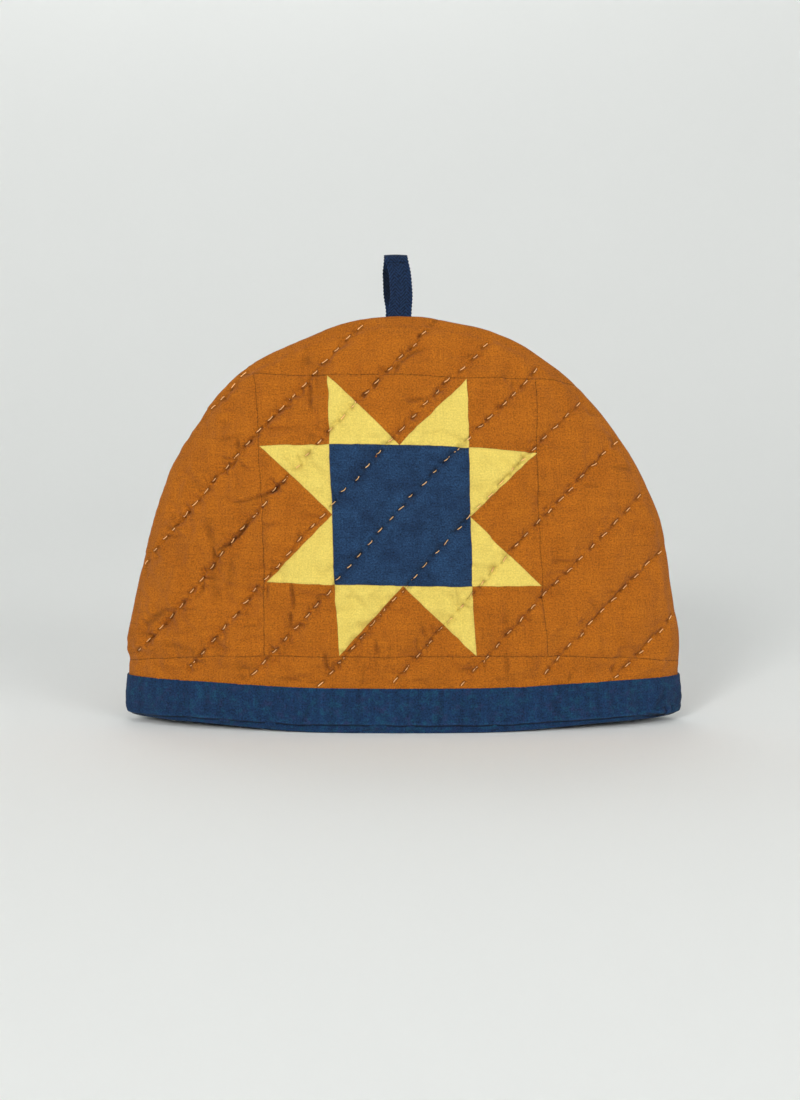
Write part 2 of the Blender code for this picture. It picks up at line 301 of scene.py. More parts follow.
patchwork = {
    "middle": (-0.0010, 0.1292),
    "unit": 0.0410,             # a quarter of the block's side
    "reach": 2.2,
    # how far the sewing is from square: shares of x, z, xz, xx, xxz, zz and 1, across and along
    "skew": (
        (0.991, 0.0251, -0.0061, 0.0, 0.0029, 0.0, 0.0076),
        (0.0186, 0.982, 0.0055, 0.0083, 0.0116, 0.0041, -0.0162),
    ),
    "lowerShift": 0.042,
    "lean": 0.0385,
    "stripMiddle": -0.0018,
    "stripHalf": 0.0829,
    "stripSpread": 0.26,
    "topSeam": 0.2127,
    "topFall": 0.0020,
    "topStep": 0.0022,
    "topDroop": 3.9,
    "topBend": 0.070,
    "stepSpan": (0.012, 0.050),
    "bottomSeam": 0.0459,
    "bottomSag": (0.0079, 0.0088),      # at the left and the right side
    "sagReach": (0.168, 0.170),
}


def blockPlace(x, z):
    # where a point lies in the block, in units from its middle; the sewing isn't quite square
    middleX, middleZ = patchwork["middle"]
    reach = patchwork["reach"]
    x = most(least((x - middleX) / patchwork["unit"], reach), -reach)
    z = most(least((z - middleZ) / patchwork["unit"], reach), -reach)
    terms = (x, z, x * z, x * x, x * x * z, z * z, 1.0)
    across, along = (
        sum(term * share for term, share in zip(terms, shares) if share) for shares in patchwork["skew"]
    )
    return across - most(-z - 1.0, 0.0) * patchwork["lowerShift"], along


def stripSeams(x, z):
    # heights above the top and the bottom seam, and the distance to the upright seams
    droop = patchwork["topDroop"] * most(x - patchwork["topBend"], 0.0) ** 2
    top = z - patchwork["topSeam"] + x * patchwork["topFall"] + droop
    top = top + ease(*patchwork["stepSpan"], x) * patchwork["topStep"]
    bottom = z - patchwork["bottomSeam"]
    for side, sag, reach in zip((-x, x), patchwork["bottomSag"], patchwork["sagReach"]):
        bottom = bottom + (most(side, 0.0) / reach) ** 4 * sag
    rise = z - patchwork["middle"][1]
    upright = x - patchwork["stripMiddle"] + rise * patchwork["lean"]
    return top, bottom, absolute(upright) - rise * rise * patchwork["stripSpread"] - patchwork["stripHalf"]


def patches(x, z):
    # masks of the block's patches and distances to its seams
    across, along = blockPlace(x, z)
    a, b = absolute(across), absolute(along)
    high, low = most(a, b), least(a, b)
    top, bottom, side = stripSeams(x, z)
    soft = 0.006
    block = below(high, 2.0, soft)
    centre = below(high, 1.0, soft)
    points = block * (1 - centre) * below(low, 1.0, soft) * below(high - 1, low, soft)
    corners = block * below(-low, -1.0, soft)
    unit = patchwork["unit"]
    far = 0.05
    outside = below(-high, -2.0, soft) * far
    inner = least(absolute(a - 1), absolute(b - 1)) * unit + outside
    slant = absolute(low - high + 1) * unit * 0.707 + outside + centre * far + corners * far
    strip = absolute(side) + below(-top, 0.0, 0.001) * far + below(bottom, 0.0, 0.001) * far
    strip = least(strip, least(absolute(top), absolute(bottom)))
    return {
        "centre": centre, "points": points, "across": across, "along": along,
        "blockSeams": least(inner, slant), "stripSeams": strip, "top": top, "bottom": bottom, "side": side,
    }


# quilting rows and their stitches

quilt = {
    "slant": math.radians(47),
    # each row in millimetres: its first stitch along it, the way from one stitch to the
    # next, and its offset across the rows at the stations
    "stations": (-75, -25, 25, 75, 125, 175, 215),
    "rows": (
        (61.0, 9.5, (-212, -213.5, -215, -216, -216, -215, -213)),
        (-34.5, 9.65, (-180.5, -182.7, -184.7, -186.1, -184.6, -183.4, -182.6)),
        (-76.7, 9.94, (-149.0, -149.8, -153.4, -155.0, -154.6, -152.9, -150.4)),
        (-68.3, 10.00, (-118.7, -121.0, -123.0, -124.2, -124.3, -122.6, -118.9)),
        (-45.0, 9.50, (-90.8, -89.2, -89.9, -93.0, -92.2, -89.9, -88.2)),
        (-12.5, 9.44, (-53.0, -55.4, -57.3, -58.7, -59.2, -58.0, -55.1)),
        (20.0, 9.65, (-22.0, -24.2, -25.3, -26.0, -26.6, -25.1, -22.0)),
        (45.8, 10.17, (1.0, 2.8, 4.6, 6.0, 6.5, 9.0, 11.6)),
        (74.5, 9.85, (32.0, 34.6, 36.6, 38.1, 39.1, 41.8, 43.6)),
        (110.8, 9.50, (52.0, 58.0, 63.5, 68.6, 74.0, 76.8, 78.4)),
    ),
    "pitch": 0.0322,
    "rowDepth": 0.0014,
    "sharp": 1.15,
    "stitch": 0.0047,
    "loose": (0.45, 0.0004),    # how far stitches lie from an even row: millimetres along, metres across
    "turned": (-3.0, 5.0),      # degrees from the row: usual and spread
    "lengths": (0.86, 1.12),
    "thread": 0.00038,          # radius
    "rise": 0.00030,
    "sink": 0.00070,
    "dent": 0.00095,
    "dentReach": 0.0020,
    "groove": 0.00060,
    "grooveReach": 0.00058,
    "hole": 0.00060,
    "lip": (0.16, 0.0030, 0.0013, 0.0022),      # share of the dent, place, width and end
    "spokes": (0.16, 5, 0.0030, 0.0020),        # share of the dent, number, place and width
    "shade": (0.0005, 0.00045, 0.0004, 0.75),   # painted shade beside the thread: place, width, end and share below the thread
    "pull": 0.00065,            # small wrinkles across the rows
    "pulls": ((1.0, 175, 62), (0.35, 340, 150)),        # share, and scales along and across the rows
    "line": 0.00040,            # a sharp crease that comes and goes along a row
    "lineWidth": 0.00065,
    "numbers": range(-4, 40),   # places tried along each row
    "edge": 0.972,              # no stitch lies past this level of the dome
    "aboveBand": 0.0022,
}
rowCurves = [np.polyfit(quilt["stations"], offsets, 5) for _, _, offsets in quilt["rows"]]


def rowBend(row, along):
    # a row's offset across the rows at a place along them, and its slope there
    place = np.clip(along * 1000, quilt["stations"][0], quilt["stations"][-1])
    curve = rowCurves[row]
    return np.polyval(curve, place) / 1000, np.polyval(np.polyder(curve), place)


def rowPlace(x, z):
    # distance across and along the rows
    sine, cosine = math.sin(quilt["slant"]), math.cos(quilt["slant"])
    return x * sine - z * cosine, x * cosine + z * sine


def rowPhase(x, z):
    # the number of the row at a point, with its share of the way to the next row
    across, along = rowPlace(x, z)
    lines = [rowBend(row, along)[0] for row in range(len(quilt["rows"]))]
    phase = (across - lines[0]) / quilt["pitch"]
    for number, (lower, upper) in enumerate(zip(lines, lines[1:])):
        phase = np.where(across > lower, number + (across - lower) / (upper - lower), phase)
    last = len(lines) - 1
    return np.where(across > lines[-1], last + (across - lines[-1]) / quilt["pitch"], phase)


def stitchRun(seed):
    # centre, direction and length of each quilting stitch, in the panel's plane
    dice = random.Random(seed)
    sine, cosine = math.sin(quilt["slant"]), math.cos(quilt["slant"])
    lowest = cosy["bandTop"] + quilt["aboveBand"]
    found = []
    for row, (first, pitch, _) in enumerate(quilt["rows"]):
        for number in quilt["numbers"]:
            along = (first + number * pitch + dice.gauss(0, quilt["loose"][0])) / 1000
            across, turn = (float(value) for value in rowBend(row, along))
            across += dice.gauss(0, quilt["loose"][1])
            turn = quilt["slant"] - math.atan(turn) + math.radians(dice.gauss(*quilt["turned"]))
            x = across * sine + along * cosine
            z = -across * cosine + along * sine
            length = quilt["stitch"] * dice.uniform(*quilt["lengths"])
            flatX, flatZ = (float(value[0]) for value in evenPlace(np.array([x]), np.array([z])))
            if flatZ > lowest and outerShell.level(flatX, flatZ) < quilt["edge"]:
                found.append((x, z, turn, length, flatX, flatZ))
    return np.array(found)


def besideStitch(x, z, cx, cz, turn, reach):
    # which points are near a stitch, and where they lie along and across it
    dx, dz = x - cx, z - cz
    near = np.nonzero((np.abs(dx) < reach) & (np.abs(dz) < reach))[0]
    dx, dz = dx[near], dz[near]
    return near, dx * math.cos(turn) + dz * math.sin(turn), dz * math.cos(turn) - dx * math.sin(turn)


def stitchDents(x, z, stitches):
    # how far the thread draws the cloth in at each point
    dent = np.zeros_like(x)
    reach, narrow = quilt["dentReach"], quilt["grooveReach"]
    lipShare, lipPlace, lipWide, lipPast = quilt["lip"]
    spokeShare, spokeCount, spokePlace, spokeWide = quilt["spokes"]
    for cx, cz, turn, length, _, _ in stitches:
        near, along, across = besideStitch(x, z, cx, cz, turn, 0.010)
        past = np.maximum(np.abs(along) - length / 2, 0)
        hollow = np.exp(-(across / reach) ** 2 - (past / reach) ** 2)
        groove = np.exp(-(across / narrow) ** 2 - (past / narrow) ** 2)
        hole = np.exp(-(across / narrow) ** 2 - ((np.abs(along) - length / 2) / narrow) ** 2)
        lip = np.exp(-((np.abs(across) - lipPlace) / lipWide) ** 2 - (past / lipPast) ** 2)
        spokes = np.cos(np.arctan2(across, past + 0.0006) * spokeCount + cx * 900)
        spokes *= np.exp(-((np.hypot(across, past) - spokePlace) / spokeWide) ** 2)
        dent[near] += quilt["dent"] * (hollow - lipShare * lip + spokeShare * spokes)
        dent[near] += quilt["groove"] * groove + quilt["hole"] * hole
    return dent


def pulledRelief(x, z, seed):
    # little wrinkles that cross each row, strongest at its stitches, and the row's own crease
    across, along = rowPlace(x, z)
    phase = rowPhase(x, z)
    near = np.exp(-(np.sin(math.pi * phase) / 0.55) ** 2)
    height = np.zeros_like(x)
    for number, (share, long, wide) in enumerate(quilt["pulls"]):
        height += share * quilt["pull"] * near * unevenness(along * long, across * wide, 0.5, seed + number)
    share = ease(-0.25, 0.55, unevenness(along * 60, np.round(phase) * 9.1, 0.5, seed + 2))
    aside = np.abs(phase - np.round(phase)) * quilt["pitch"]
    return height - quilt["line"] * share * np.exp(-(aside / quilt["lineWidth"]) ** 2)


# listed creases: three points of a bend, depth and width, in millimetres
frontCreases = (
    (-66.7, 90, -66.2, 81, -65.4, 73, 1.2, 1.0),
    (-67.9, 73, -68.3, 68, -67.6, 62, 1.1, 1.0),
    (-67.5, 58.5, -67.4, 57, -68.4, 53.5, 0.6, 1.0),
    (-81.5, 89.5, -81.1, 83.5, -81.7, 77, 0.7, 1.0),
    (-121.2, 91, -120.9, 84, -124.4, 79, 1.0, 1.0),
    (-121.9, 87.4, -123.4, 87, -125.4, 85.2, 0.5, 0.9),
    (-120, 99, -120.3, 96, -119.6, 93.6, 0.7, 1.0),
    (-115.4, 110, -113, 106, -113.2, 101.8, 1.1, 1.0),
    (-141.5, 72, -151, 67, -160, 59, 0.9, 2.5),
    (-163, 55.2, -156, 54.6, -149, 55.6, 0.6, 1.3),
    (-138, 71, -131, 71.9, -124.5, 71.3, 0.3, 0.8),
    (-146, 51, -135, 48, -122, 46.6, 0.5, 2.5),
    (-101, 38.4, -96, 37.6, -90, 38, 0.6, 1.8),
    (-97, 34.4, -95.7, 32.7, -94.4, 30.6, 0.6, 1.1),
    (-84, 33.8, -70, 32.6, -54, 30.6, 0.4, 0.8),
    (-80.3, 52.8, -79, 50.4, -76.5, 49, 0.6, 1.0),
    (-99, 62.4, -91, 63.2, -83, 63, 0.3, 1.0),
    (-125.8, 48, -126, 46, -125.6, 43.4, 0.3, 1.0),
    (-95, 73.5, -93.6, 70, -93.9, 66.5, 0.35, 1.0),
    (-72.6, 57, -71, 51, -71.3, 44.6, 0.4, 1.2),
    (-106, 59, -105.4, 52, -105.4, 44, -0.5, 2.6),
    (-116.5, 100, -113.5, 88, -113.4, 76, 0.6, 2.8),
    (-102.6, 106, -103.8, 95, -103.4, 83, 0.5, 2.5),
    (-104.5, 136, -95, 136.6, -86.6, 140.2, 0.9, 0.9),
    (-87.4, 139.9, -78.6, 142, -71.3, 149.8, 1.4, 0.9),
    (-112, 107.2, -106, 110.6, -100.4, 116.4, 1.1, 0.9),
    (-101, 115.4, -95.8, 120.4, -91.2, 127.6, 1.0, 0.9),
    (-99.3, 174.4, -99, 171, -99.3, 166.8, 0.9, 1.0),
    (-99.4, 164.4, -99.9, 160, -104, 158.4, 0.7, 1.0),
    (-112, 173.2, -105, 173.4, -98, 175.2, 0.5, 1.3),
    (-106.1, 159, -106.3, 157, -105.8, 155.4, 0.5, 0.9),
    (-127, 133, -124.6, 134, -123, 136.2, 0.5, 0.9),
    (-138.6, 121.4, -135.6, 124.4, -133.8, 128.6, 0.5, 0.9),
    (-144.3, 118, -142, 120.6, -139.8, 121.9, 0.4, 0.9),
    (-125.5, 155.2, -118, 154.6, -109.5, 155.2, 0.35, 1.0),
    (-131, 147.4, -125, 147.6, -119, 145.8, 0.5, 2.6),
    (-117.2, 129, -118, 119, -113.4, 108.6, 0.6, 3.2),
    (-97.6, 160.2, -96, 157.4, -93, 155.6, 0.4, 1.1),
    (-83.4, 123, -79.4, 123.6, -74, 125.2, 0.5, 1.0),
    (-62.4, 120.5, -63, 117.6, -61.4, 114.6, 0.8, 1.2),
    (-80.2, 103.6, -78.8, 101.6, -76.4, 100.6, 0.6, 1.0),
    (-47, 49, -47.1, 41.6, -44.2, 36.4, 1.1, 1.0),
    (-57.5, 31, -52.6, 31, -48.5, 29.8, 0.6, 1.0),
    (-16.4, 57.4, -17, 51, -15, 46, 0.7, 1.3),
    (-17, 47, -16.6, 43, -15.6, 39, 0.5, 1.3),
    (-20, 47, -20.3, 42, -19.4, 37, 0.3, 1.3),
    (-28.4, 47, -28, 38, -26, 29.6, 0.4, 1.5),
    (-23.6, 44, -24.4, 38, -24.4, 31, 0.5, 1.2),
    (-7.3, 54, -8.7, 49, -8.8, 44, 0.4, 1.3),
    (10.4, 66.4, 12.2, 61, 15.8, 54.6, 0.7, 1.2),
    (7.5, 59, 7.8, 53, 9, 48, 0.5, 1.2),
    (16.2, 64.4, 17, 62.6, 18.2, 60.8, 0.5, 1.0),
    (32, 38.4, 38, 37.6, 43.4, 38.4, 0.5, 1.6),
    (30.3, 88.6, 34.4, 81, 32.4, 73.6, 0.6, 1.0),
    (-31.2, 89, -30.6, 85, -30.4, 80, 0.3, 1.2),
    (46, 64, 47.6, 58, 47, 52.6, 0.4, 1.4),
    (14, 96.4, 15, 92.8, 17.4, 89.6, 0.5, 1.2),
    (-54, 81, -50, 80, -45.6, 80.4, 0.5, 1.6),
    (-57.4, 210, -55.6, 203, -57, 199.6, 0.9, 1.1),
    (-57, 200.6, -56.6, 196, -54.8, 191, 0.8, 1.3),
    (-59, 230.4, -57.8, 224, -58.4, 217.6, 0.5, 2.5),
    (-110, 183, -107, 183.4, -104, 183, 0.4, 2.4),
    (-86, 180.4, -72, 180.8, -56, 180.4, 0.5, 1.1),
    (-66, 220.8, -60, 220.4, -54, 221.2, 0.4, 2.0),
    (-28, 104, -27, 105.4, -25, 107.6, 0.5, 0.9),
    (4.6, 140.6, 6.4, 142, 9, 144.2, 0.5, 0.9),
    (13.6, 229, 3, 226, -1.6, 220, 0.9, 1.1),
    (-1, 220.8, -4.4, 217, -6.4, 211.2, 0.8, 1.2),
    (-24.3, 199.4, -23, 200.4, -21.8, 201.9, 1.0, 0.9),
    (-18.4, 204.6, -16, 206.4, -15.3, 209.2, 1.0, 0.9),
    (1, 197.4, 7, 197.6, 14, 199.4, 0.7, 1.1),
    (5, 192, 5.2, 189, 6.5, 185.4, 0.6, 1.1),
    (2.6, 180.9, 5, 179.8, 7.4, 180, 0.4, 1.0),
    (19.5, 202.4, 20, 204, 21.4, 205.2, 0.6, 0.9),
    (-29.6, 240.4, -28.8, 238, -28.8, 235.4, 0.5, 1.0),
    (9.9, 238, 8.8, 235, 8.9, 232, 0.4, 1.1),
    (36, 224.2, 39, 224, 41.6, 225.2, 0.5, 1.1),
    (-52, 214.4, -53, 211, -52.7, 207.6, 0.5, 1.0),
    (-56, 177.6, -54, 175.6, -52, 175.4, 0.6, 2.4),
    (54.5, 191.4, 55.4, 194, 57.4, 195.2, 0.5, 0.9),
    (98.2, 29.4, 99.2, 32, 101.4, 34.6, 0.8, 1.4),
    (61, 30, 62, 38, 61.8, 47, 0.6, 1.8),
    (64.8, 56, 64.6, 42, 64, 30, -0.5, 2.2),
    (61.2, 63, 60, 67, 60, 72, 0.5, 1.5),
    (105.6, 63, 107, 65, 109.6, 66, 0.5, 1.6),
    (113.2, 78.6, 115, 74, 118, 71.4, 0.5, 1.4),
    (124, 82.7, 127, 82.6, 129.6, 80.6, 0.5, 1.2),
    (125.6, 33.8, 127, 36.4, 128.8, 37, 0.8, 1.3),
    (92.6, 86, 94, 84, 93.4, 81.4, 0.35, 1.0),
    (124, 157.7, 131, 155.4, 140, 155, 0.7, 1.3),
    (107.4, 146.9, 113, 146.2, 119, 144.4, 0.45, 1.0),
    (99, 145.4, 99.8, 147.2, 101.4, 147.8, 0.6, 1.0),
    (87.4, 103.4, 94, 101.6, 101.4, 101.6, 0.6, 1.3),
    (84, 131.5, 84.8, 133.8, 87, 134.4, 0.6, 0.9),
    (88.4, 132.7, 90, 129.6, 89.2, 126.4, 0.4, 0.9),
    (71.7, 122, 71.2, 119.6, 72.8, 117, 0.6, 0.9),
    (122.6, 174.3, 126, 174.4, 128.8, 172.2, 0.6, 1.1),
    (110.6, 191, 114, 188.4, 118, 188.2, 0.6, 1.2),
    (75.8, 171.4, 76, 173.6, 78, 174.4, 0.6, 1.0),
    (65.1, 209.4, 65.9, 207, 65.2, 204.6, 0.45, 1.1),
)


backCrease = {
    "count": 26,
    "x": (-150, 150),
    "z": (34, 225),
    "level": 0.86,              # how near to the edge of the dome they come
    "half": (4, 13),
    "bend": (-0.25, 0.25),
    "depth": (0.4, 1.0),
    "width": (1.2, 1.8),
}


def backCreases(seed):
    # the back is creased much as the front is, at places of its own
    dice = random.Random(seed)
    creases = []
    while len(creases) < backCrease["count"]:
        x, z = dice.uniform(*backCrease["x"]), dice.uniform(*backCrease["z"])
        if outerShell.level(x / 1000, z / 1000) > backCrease["level"]:
            continue
        turn = dice.uniform(0, math.tau)
        length = dice.uniform(*backCrease["half"])
        dx, dz = length * math.cos(turn), length * math.sin(turn)
        bend = dice.uniform(*backCrease["bend"])
        depth, width = dice.uniform(*backCrease["depth"]), dice.uniform(*backCrease["width"])
        creases.append((x - dx, z - dz, x - dz * bend, z + dx * bend, x + dx, z + dz, depth, width))
    return tuple(creases)


pucker = {
    "share": (0.30, 0.40),      # share of stitch ends that have one, and how much more where worn
    "worn": 0.30,
    "turn": (20, 80),
    "long": (2.4, 6.0),
    "bend": 0.3,
    "depth": (0.3, 0.7),
    "width": (0.65, 1.0),
    "joined": 0.38,             # share of stitches joined to the next by a crease
    "joinedDepth": (0.3, 0.8),
    "joinedWidth": (0.6, 0.8),
    "farthest": 0.012,
}


def inMillimetres(places, depth, width):
    return (*(place * 1000 for place in places), depth, width)


def puckers(seed, stitches):
    # little creases that start where a stitch goes in; more of them on the side handled most
    dice = random.Random(seed)
    creases = []
    for number, (x, z, turn, length, _, _) in enumerate(stitches):
        worn = clip01(0.5 - x / pucker["worn"])
        for end in (-1, 1):
            if dice.random() > pucker["share"][0] + pucker["share"][1] * worn:
                continue
            way = turn + (0 if end > 0 else math.pi)
            way += dice.choice((-1, 1)) * math.radians(dice.uniform(*pucker["turn"]))
            long = dice.uniform(*pucker["long"]) * (0.8 + 0.6 * worn) / 1000
            x0 = x + end * length * 0.46 * math.cos(turn)
            z0 = z + end * length * 0.46 * math.sin(turn)
            dx, dz = long * math.cos(way), long * math.sin(way)
            bend = dice.uniform(-pucker["bend"], pucker["bend"])
            bent = (x0, z0, x0 + dx / 2 - dz * bend, z0 + dz / 2 + dx * bend, x0 + dx, z0 + dz)
            depth = dice.uniform(*pucker["depth"]) * (0.7 + 0.5 * worn)
            creases.append(inMillimetres(bent, depth, dice.uniform(*pucker["width"])))
        if number + 1 == len(stitches) or dice.random() > pucker["joined"]:
            continue
        nextX, nextZ, nextTurn, nextLength = stitches[number + 1][:4]
        if math.hypot(nextX - x, nextZ - z) > pucker["farthest"]:
            continue
        x0, z0 = x + length * 0.5 * math.cos(turn), z + length * 0.5 * math.sin(turn)
        x2 = nextX - nextLength * 0.5 * math.cos(nextTurn)
        z2 = nextZ - nextLength * 0.5 * math.sin(nextTurn)
        sag = dice.uniform(-0.5, 0.5)
        bent = (x0, z0, (x0 + x2) / 2 - (z2 - z0) * sag, (z0 + z2) / 2 + (x2 - x0) * sag, x2, z2)
        depth = dice.uniform(*pucker["joinedDepth"])
        creases.append(inMillimetres(bent, depth, dice.uniform(*pucker["joinedWidth"])))
    return tuple(creases)


def creaseRelief(x, z, creases):
    # a trough along each crease's bend, and a low ridge on its upper side
    relief = np.zeros_like(x)
    steps = 8
    share = np.linspace(0, 1, steps + 1)[:, None]
    for crease in creases:
        depth, width = crease[6] / 1000, crease[7] / 1000
        ends = np.array(crease[:6]).reshape(3, 2) / 1000
        line = (1 - share) ** 2 * ends[0] + 2 * share * (1 - share) * ends[1] + share ** 2 * ends[2]
        pad = width * 4.5
        low, high = line.min(axis=0) - pad, line.max(axis=0) + pad
        near = np.nonzero((x > low[0]) & (x < high[0]) & (z > low[1]) & (z < high[1]))[0]
        px, pz = x[near], z[near]
        best = np.full_like(px, 1.0)
        side = np.zeros_like(px)
        place = np.zeros_like(px)
        for number, (start, end) in enumerate(zip(line, line[1:])):
            step = end - start
            long = np.hypot(*step)
            dx, dz = px - start[0], pz - start[1]
            along = np.clip((dx * step[0] + dz * step[1]) / long ** 2, 0, 1)
            gap = np.hypot(dx - along * step[0], dz - along * step[1])
            closer = gap < best
            best = np.where(closer, gap, best)
            side = np.where(closer, dz * step[0] - dx * step[1], side)
            place = np.where(closer, (number + along) / steps, place)
        taper = np.sin(np.clip(place, 0.03, 0.97) * math.pi) ** 0.6
        heading = line[-1] - line[0]
        upper = best * np.sign(side) * (1 if heading[0] + 0.3 * heading[1] > 0 else -1)
        trough = np.exp(-(best / width) ** 2)
        ridge = np.exp(-((upper - 2.0 * width) / (1.4 * width)) ** 2)
        relief[near] += 1.5 * depth * taper * (0.5 * ridge - trough)
    return relief


# the panel's surface

panel = {
    "step": 0.00170,
    "fineStep": 0.00080,        # beside the rows, the seams and the creases
    "fineReach": 0.0040,
    "fineRelief": 0.00006,
    "fineSeam": 0.0013,
    "stitchGrid": (-0.00130, -0.00090, -0.00060, -0.00033, 0.0, 0.00033, 0.00060, 0.00090, 0.00130),
    "stitchRoom": (0.0016, 0.0017),     # kept free of other points past and beside a stitch
    "stitchPast": 0.0011,
    "simStep": 0.0026,
    "innerStep": 0.0055,
    "innerApart": 0.0008,       # the least from the inner face to the plane between the panels
    "rimStep": 0.0016,
    "rings": (0.0003, 0.0006, 0.0010, 0.0015, 0.0021, 0.0028, 0.0036, 0.0045, 0.0055, 0.0065),
    "innerRings": (0.0015, 0.0035, 0.0060, 0.0090),
    "uneven": 0.0011,
    "crumples": ((0.46, 85), (0.20, 260)),      # shares and scales of the smaller unevenness
    "worn": (1.7, 0.9),         # the cloth on the left has been handled more
    "creased": 1.2,
    "bandFade": (0.027, 0.038),
    "calm": 0.0001,             # the highest relief where the cloth meets the binding
    "calmSpan": (0.029, 0.040),
    "swell": 0.0007,            # the padding swells where it comes out of the binding
    "swellSpan": ((0.0295, 0.0350), (0.042, 0.070)),
    "stitchShade": 0.50,        # painted shade: colour taken away where a stitch, a crease or a pucker draws the cloth in
    # painted shade in the creases and the puckers, the darkest it gets, and the crease depth at which it is
    # full
    "shades": {"creases": 0.36, "puckers": 0.20},
    "deepest": 0.70,
    "hollow": 0.0012,
    "ditch": 0.00042,
    "ditchWidth": 0.00085,
    "pressed": 0.00022,         # seam allowances lie to one side of a seam
    "pressedWidth": 0.0060,
}

loop = {
    "x": -0.0034,
    "width": 0.014,
    "thickness": 0.0012,
    "top": 0.2845,
    "lean": 0.0018,
    "leanSpan": (0.250, 0.034),
    "radius": 0.0042,
    "twist": 0.0018,
    "apart": 0.0014,
    "spread": (0.250, 0.270),
    "root": cosy["height"] - 0.0085,
}
pocket = {
    "half": loop["width"] / 2 + loop["twist"] / 2 + 0.0004,
    "ease": 0.0016,
    "depth": loop["thickness"] + 0.0003,
}


def pocketAt(x):
    inside = clip01((pocket["half"] + pocket["ease"] - np.abs(x - loop["x"])) / pocket["ease"])
    return cosy["seamGap"] + pocket["depth"] * inside


def rollDip(x, z):
    # the valley that each row draws into the padding
    valley = 1 - np.abs(np.sin(math.pi * rowPhase(x, z))) ** quilt["sharp"]
    return quilt["rowDepth"] * valley


def edgeFade(x, z):
    edge = 0.45 + 0.55 * clip01((1 - outerShell.level(x, z)) / 0.3)
    return edge * ease(*panel["bandFade"], z)


def relief(evenX, evenZ, style):
    # height of the finished cloth over the even dome
    x, z = seenPlace(evenX, evenZ)
    points = np.stack([x, z, np.zeros_like(x)], axis=-1)
    height = np.zeros_like(x)
    for number, (share, scale) in enumerate(panel["crumples"]):
        height += share * panel["uneven"] * roughness(points, scale, style["seed"] + number + 1)
    height += pulledRelief(x, z, style["seed"] + 3)
    height *= panel["worn"][0] - panel["worn"][1] * x / cosy["halfWidth"]
    height += panel["uneven"] * roughness(points, 26, style["seed"])
    height -= rollDip(x, z)
    height -= stitchDents(x, z, style["stitches"])
    height += panel["creased"] * creaseRelief(x, z, style["creases"] + style["puckers"])
    if style["pieced"]:
        found = patches(x, z)
        seams = np.minimum(found["blockSeams"], found["stripSeams"])
        height -= panel["ditch"] * np.exp(-(seams / panel["ditchWidth"]) ** 2)
        height += panel["pressed"] * np.exp(-(seams / panel["pressedWidth"]) ** 2)
    height *= edgeFade(evenX, evenZ)
    height -= np.maximum(height - panel["calm"], 0) * (1 - ease(*panel["calmSpan"], evenZ))
    first, last = panel["swellSpan"]
    return height + panel["swell"] * ease(*first, evenZ) * (1 - ease(*last, evenZ))


def rimAngles(step, pocketStops):
    angles = np.linspace(math.pi, 0, 12001)
    x, z = outerShell.edge(angles)
    angles = angles[z >= cosy["foot"]]
    x, z = outerShell.edge(angles)
    travelled = np.concatenate([[0], np.cumsum(np.hypot(np.diff(x), np.diff(z)))])
    goals = np.linspace(0, travelled[-1], round(travelled[-1] / step) + 1)
    if pocketStops:
        middle = travelled[np.argmax(x >= loop["x"])]
        for distance in (pocket["half"], pocket["half"] + pocket["ease"]):
            for goal in (middle - distance, middle + distance):
                goals[np.argmin(np.abs(goals - goal))] = goal
    return np.interp(goals, travelled, angles)


def outerRing(angles, distance, style, plain=False):
    x, z = outerShell.edge(angles)
    gap = np.maximum(distance, pocketAt(x))
    px, pz = outerShell.edge(angles, outerShell.shareAt(gap, z))
    slope = np.stack(outerShell.slope(x, z), axis=-1)
    slope /= np.linalg.norm(slope, axis=-1, keepdims=True)
    inset = cosy["creaseDepth"] * np.exp(-distance / cosy["creaseReach"])
    pz = np.maximum(pz, cosy["foot"])
    points = np.stack([px, -gap, pz], axis=-1)
    if distance > cosy["seamGap"] and not plain:
        lift = relief(px, pz, style) * ease(0, 0.004, distance)
        points += outerShell.normal(px, pz) * lift[:, None]
        points[:, 1] = np.minimum(points[:, 1], -pocketAt(x))
    points[:, 0] -= slope[:, 0] * inset
    points[:, 2] -= slope[:, 1] * inset
    points[:, 2] = np.maximum(points[:, 2], cosy["foot"])
    points[[0, -1], 2] = cosy["foot"]
    return points, np.stack([px, pz], axis=-1)


def innerRing(angles, distance):
    x, z = innerShell.edge(angles)
    gap = np.maximum(distance, pocketAt(x))
    share = innerShell.shareAt(distance, z) if distance > cosy["seamGap"] else 1.0
    px, pz = innerShell.edge(angles, share)
    pz = np.maximum(pz, cosy["foot"])
    points = np.stack([px, -gap, pz], axis=-1)
    points[[0, -1], 2] = cosy["foot"]
    return points, np.stack([px, pz], axis=-1)


def lattice(step, shell, share):
    # flat places in an even pattern of triangles, a little inside the ring
    rise = step * math.sqrt(3) / 2
    rows = np.arange(0, int(cosy["height"] / rise) + 1)
    columns = np.arange(-int(cosy["halfWidth"] / step) - 1, int(cosy["halfWidth"] / step) + 2)
    x = (columns[None, :] + 0.5 * (rows[:, None] % 2)) * step
    z = np.broadcast_to(rows[:, None] * rise, x.shape)
    x, z = x.ravel(), z.ravel()
    dx, dz = shell.slope(x, z)
    margin = 0.55 * step * np.hypot(dx, dz)
    keep = (shell.level(x, z) < share - margin) & (z > cosy["foot"] + 0.55 * step)
    return x[keep], z[keep]


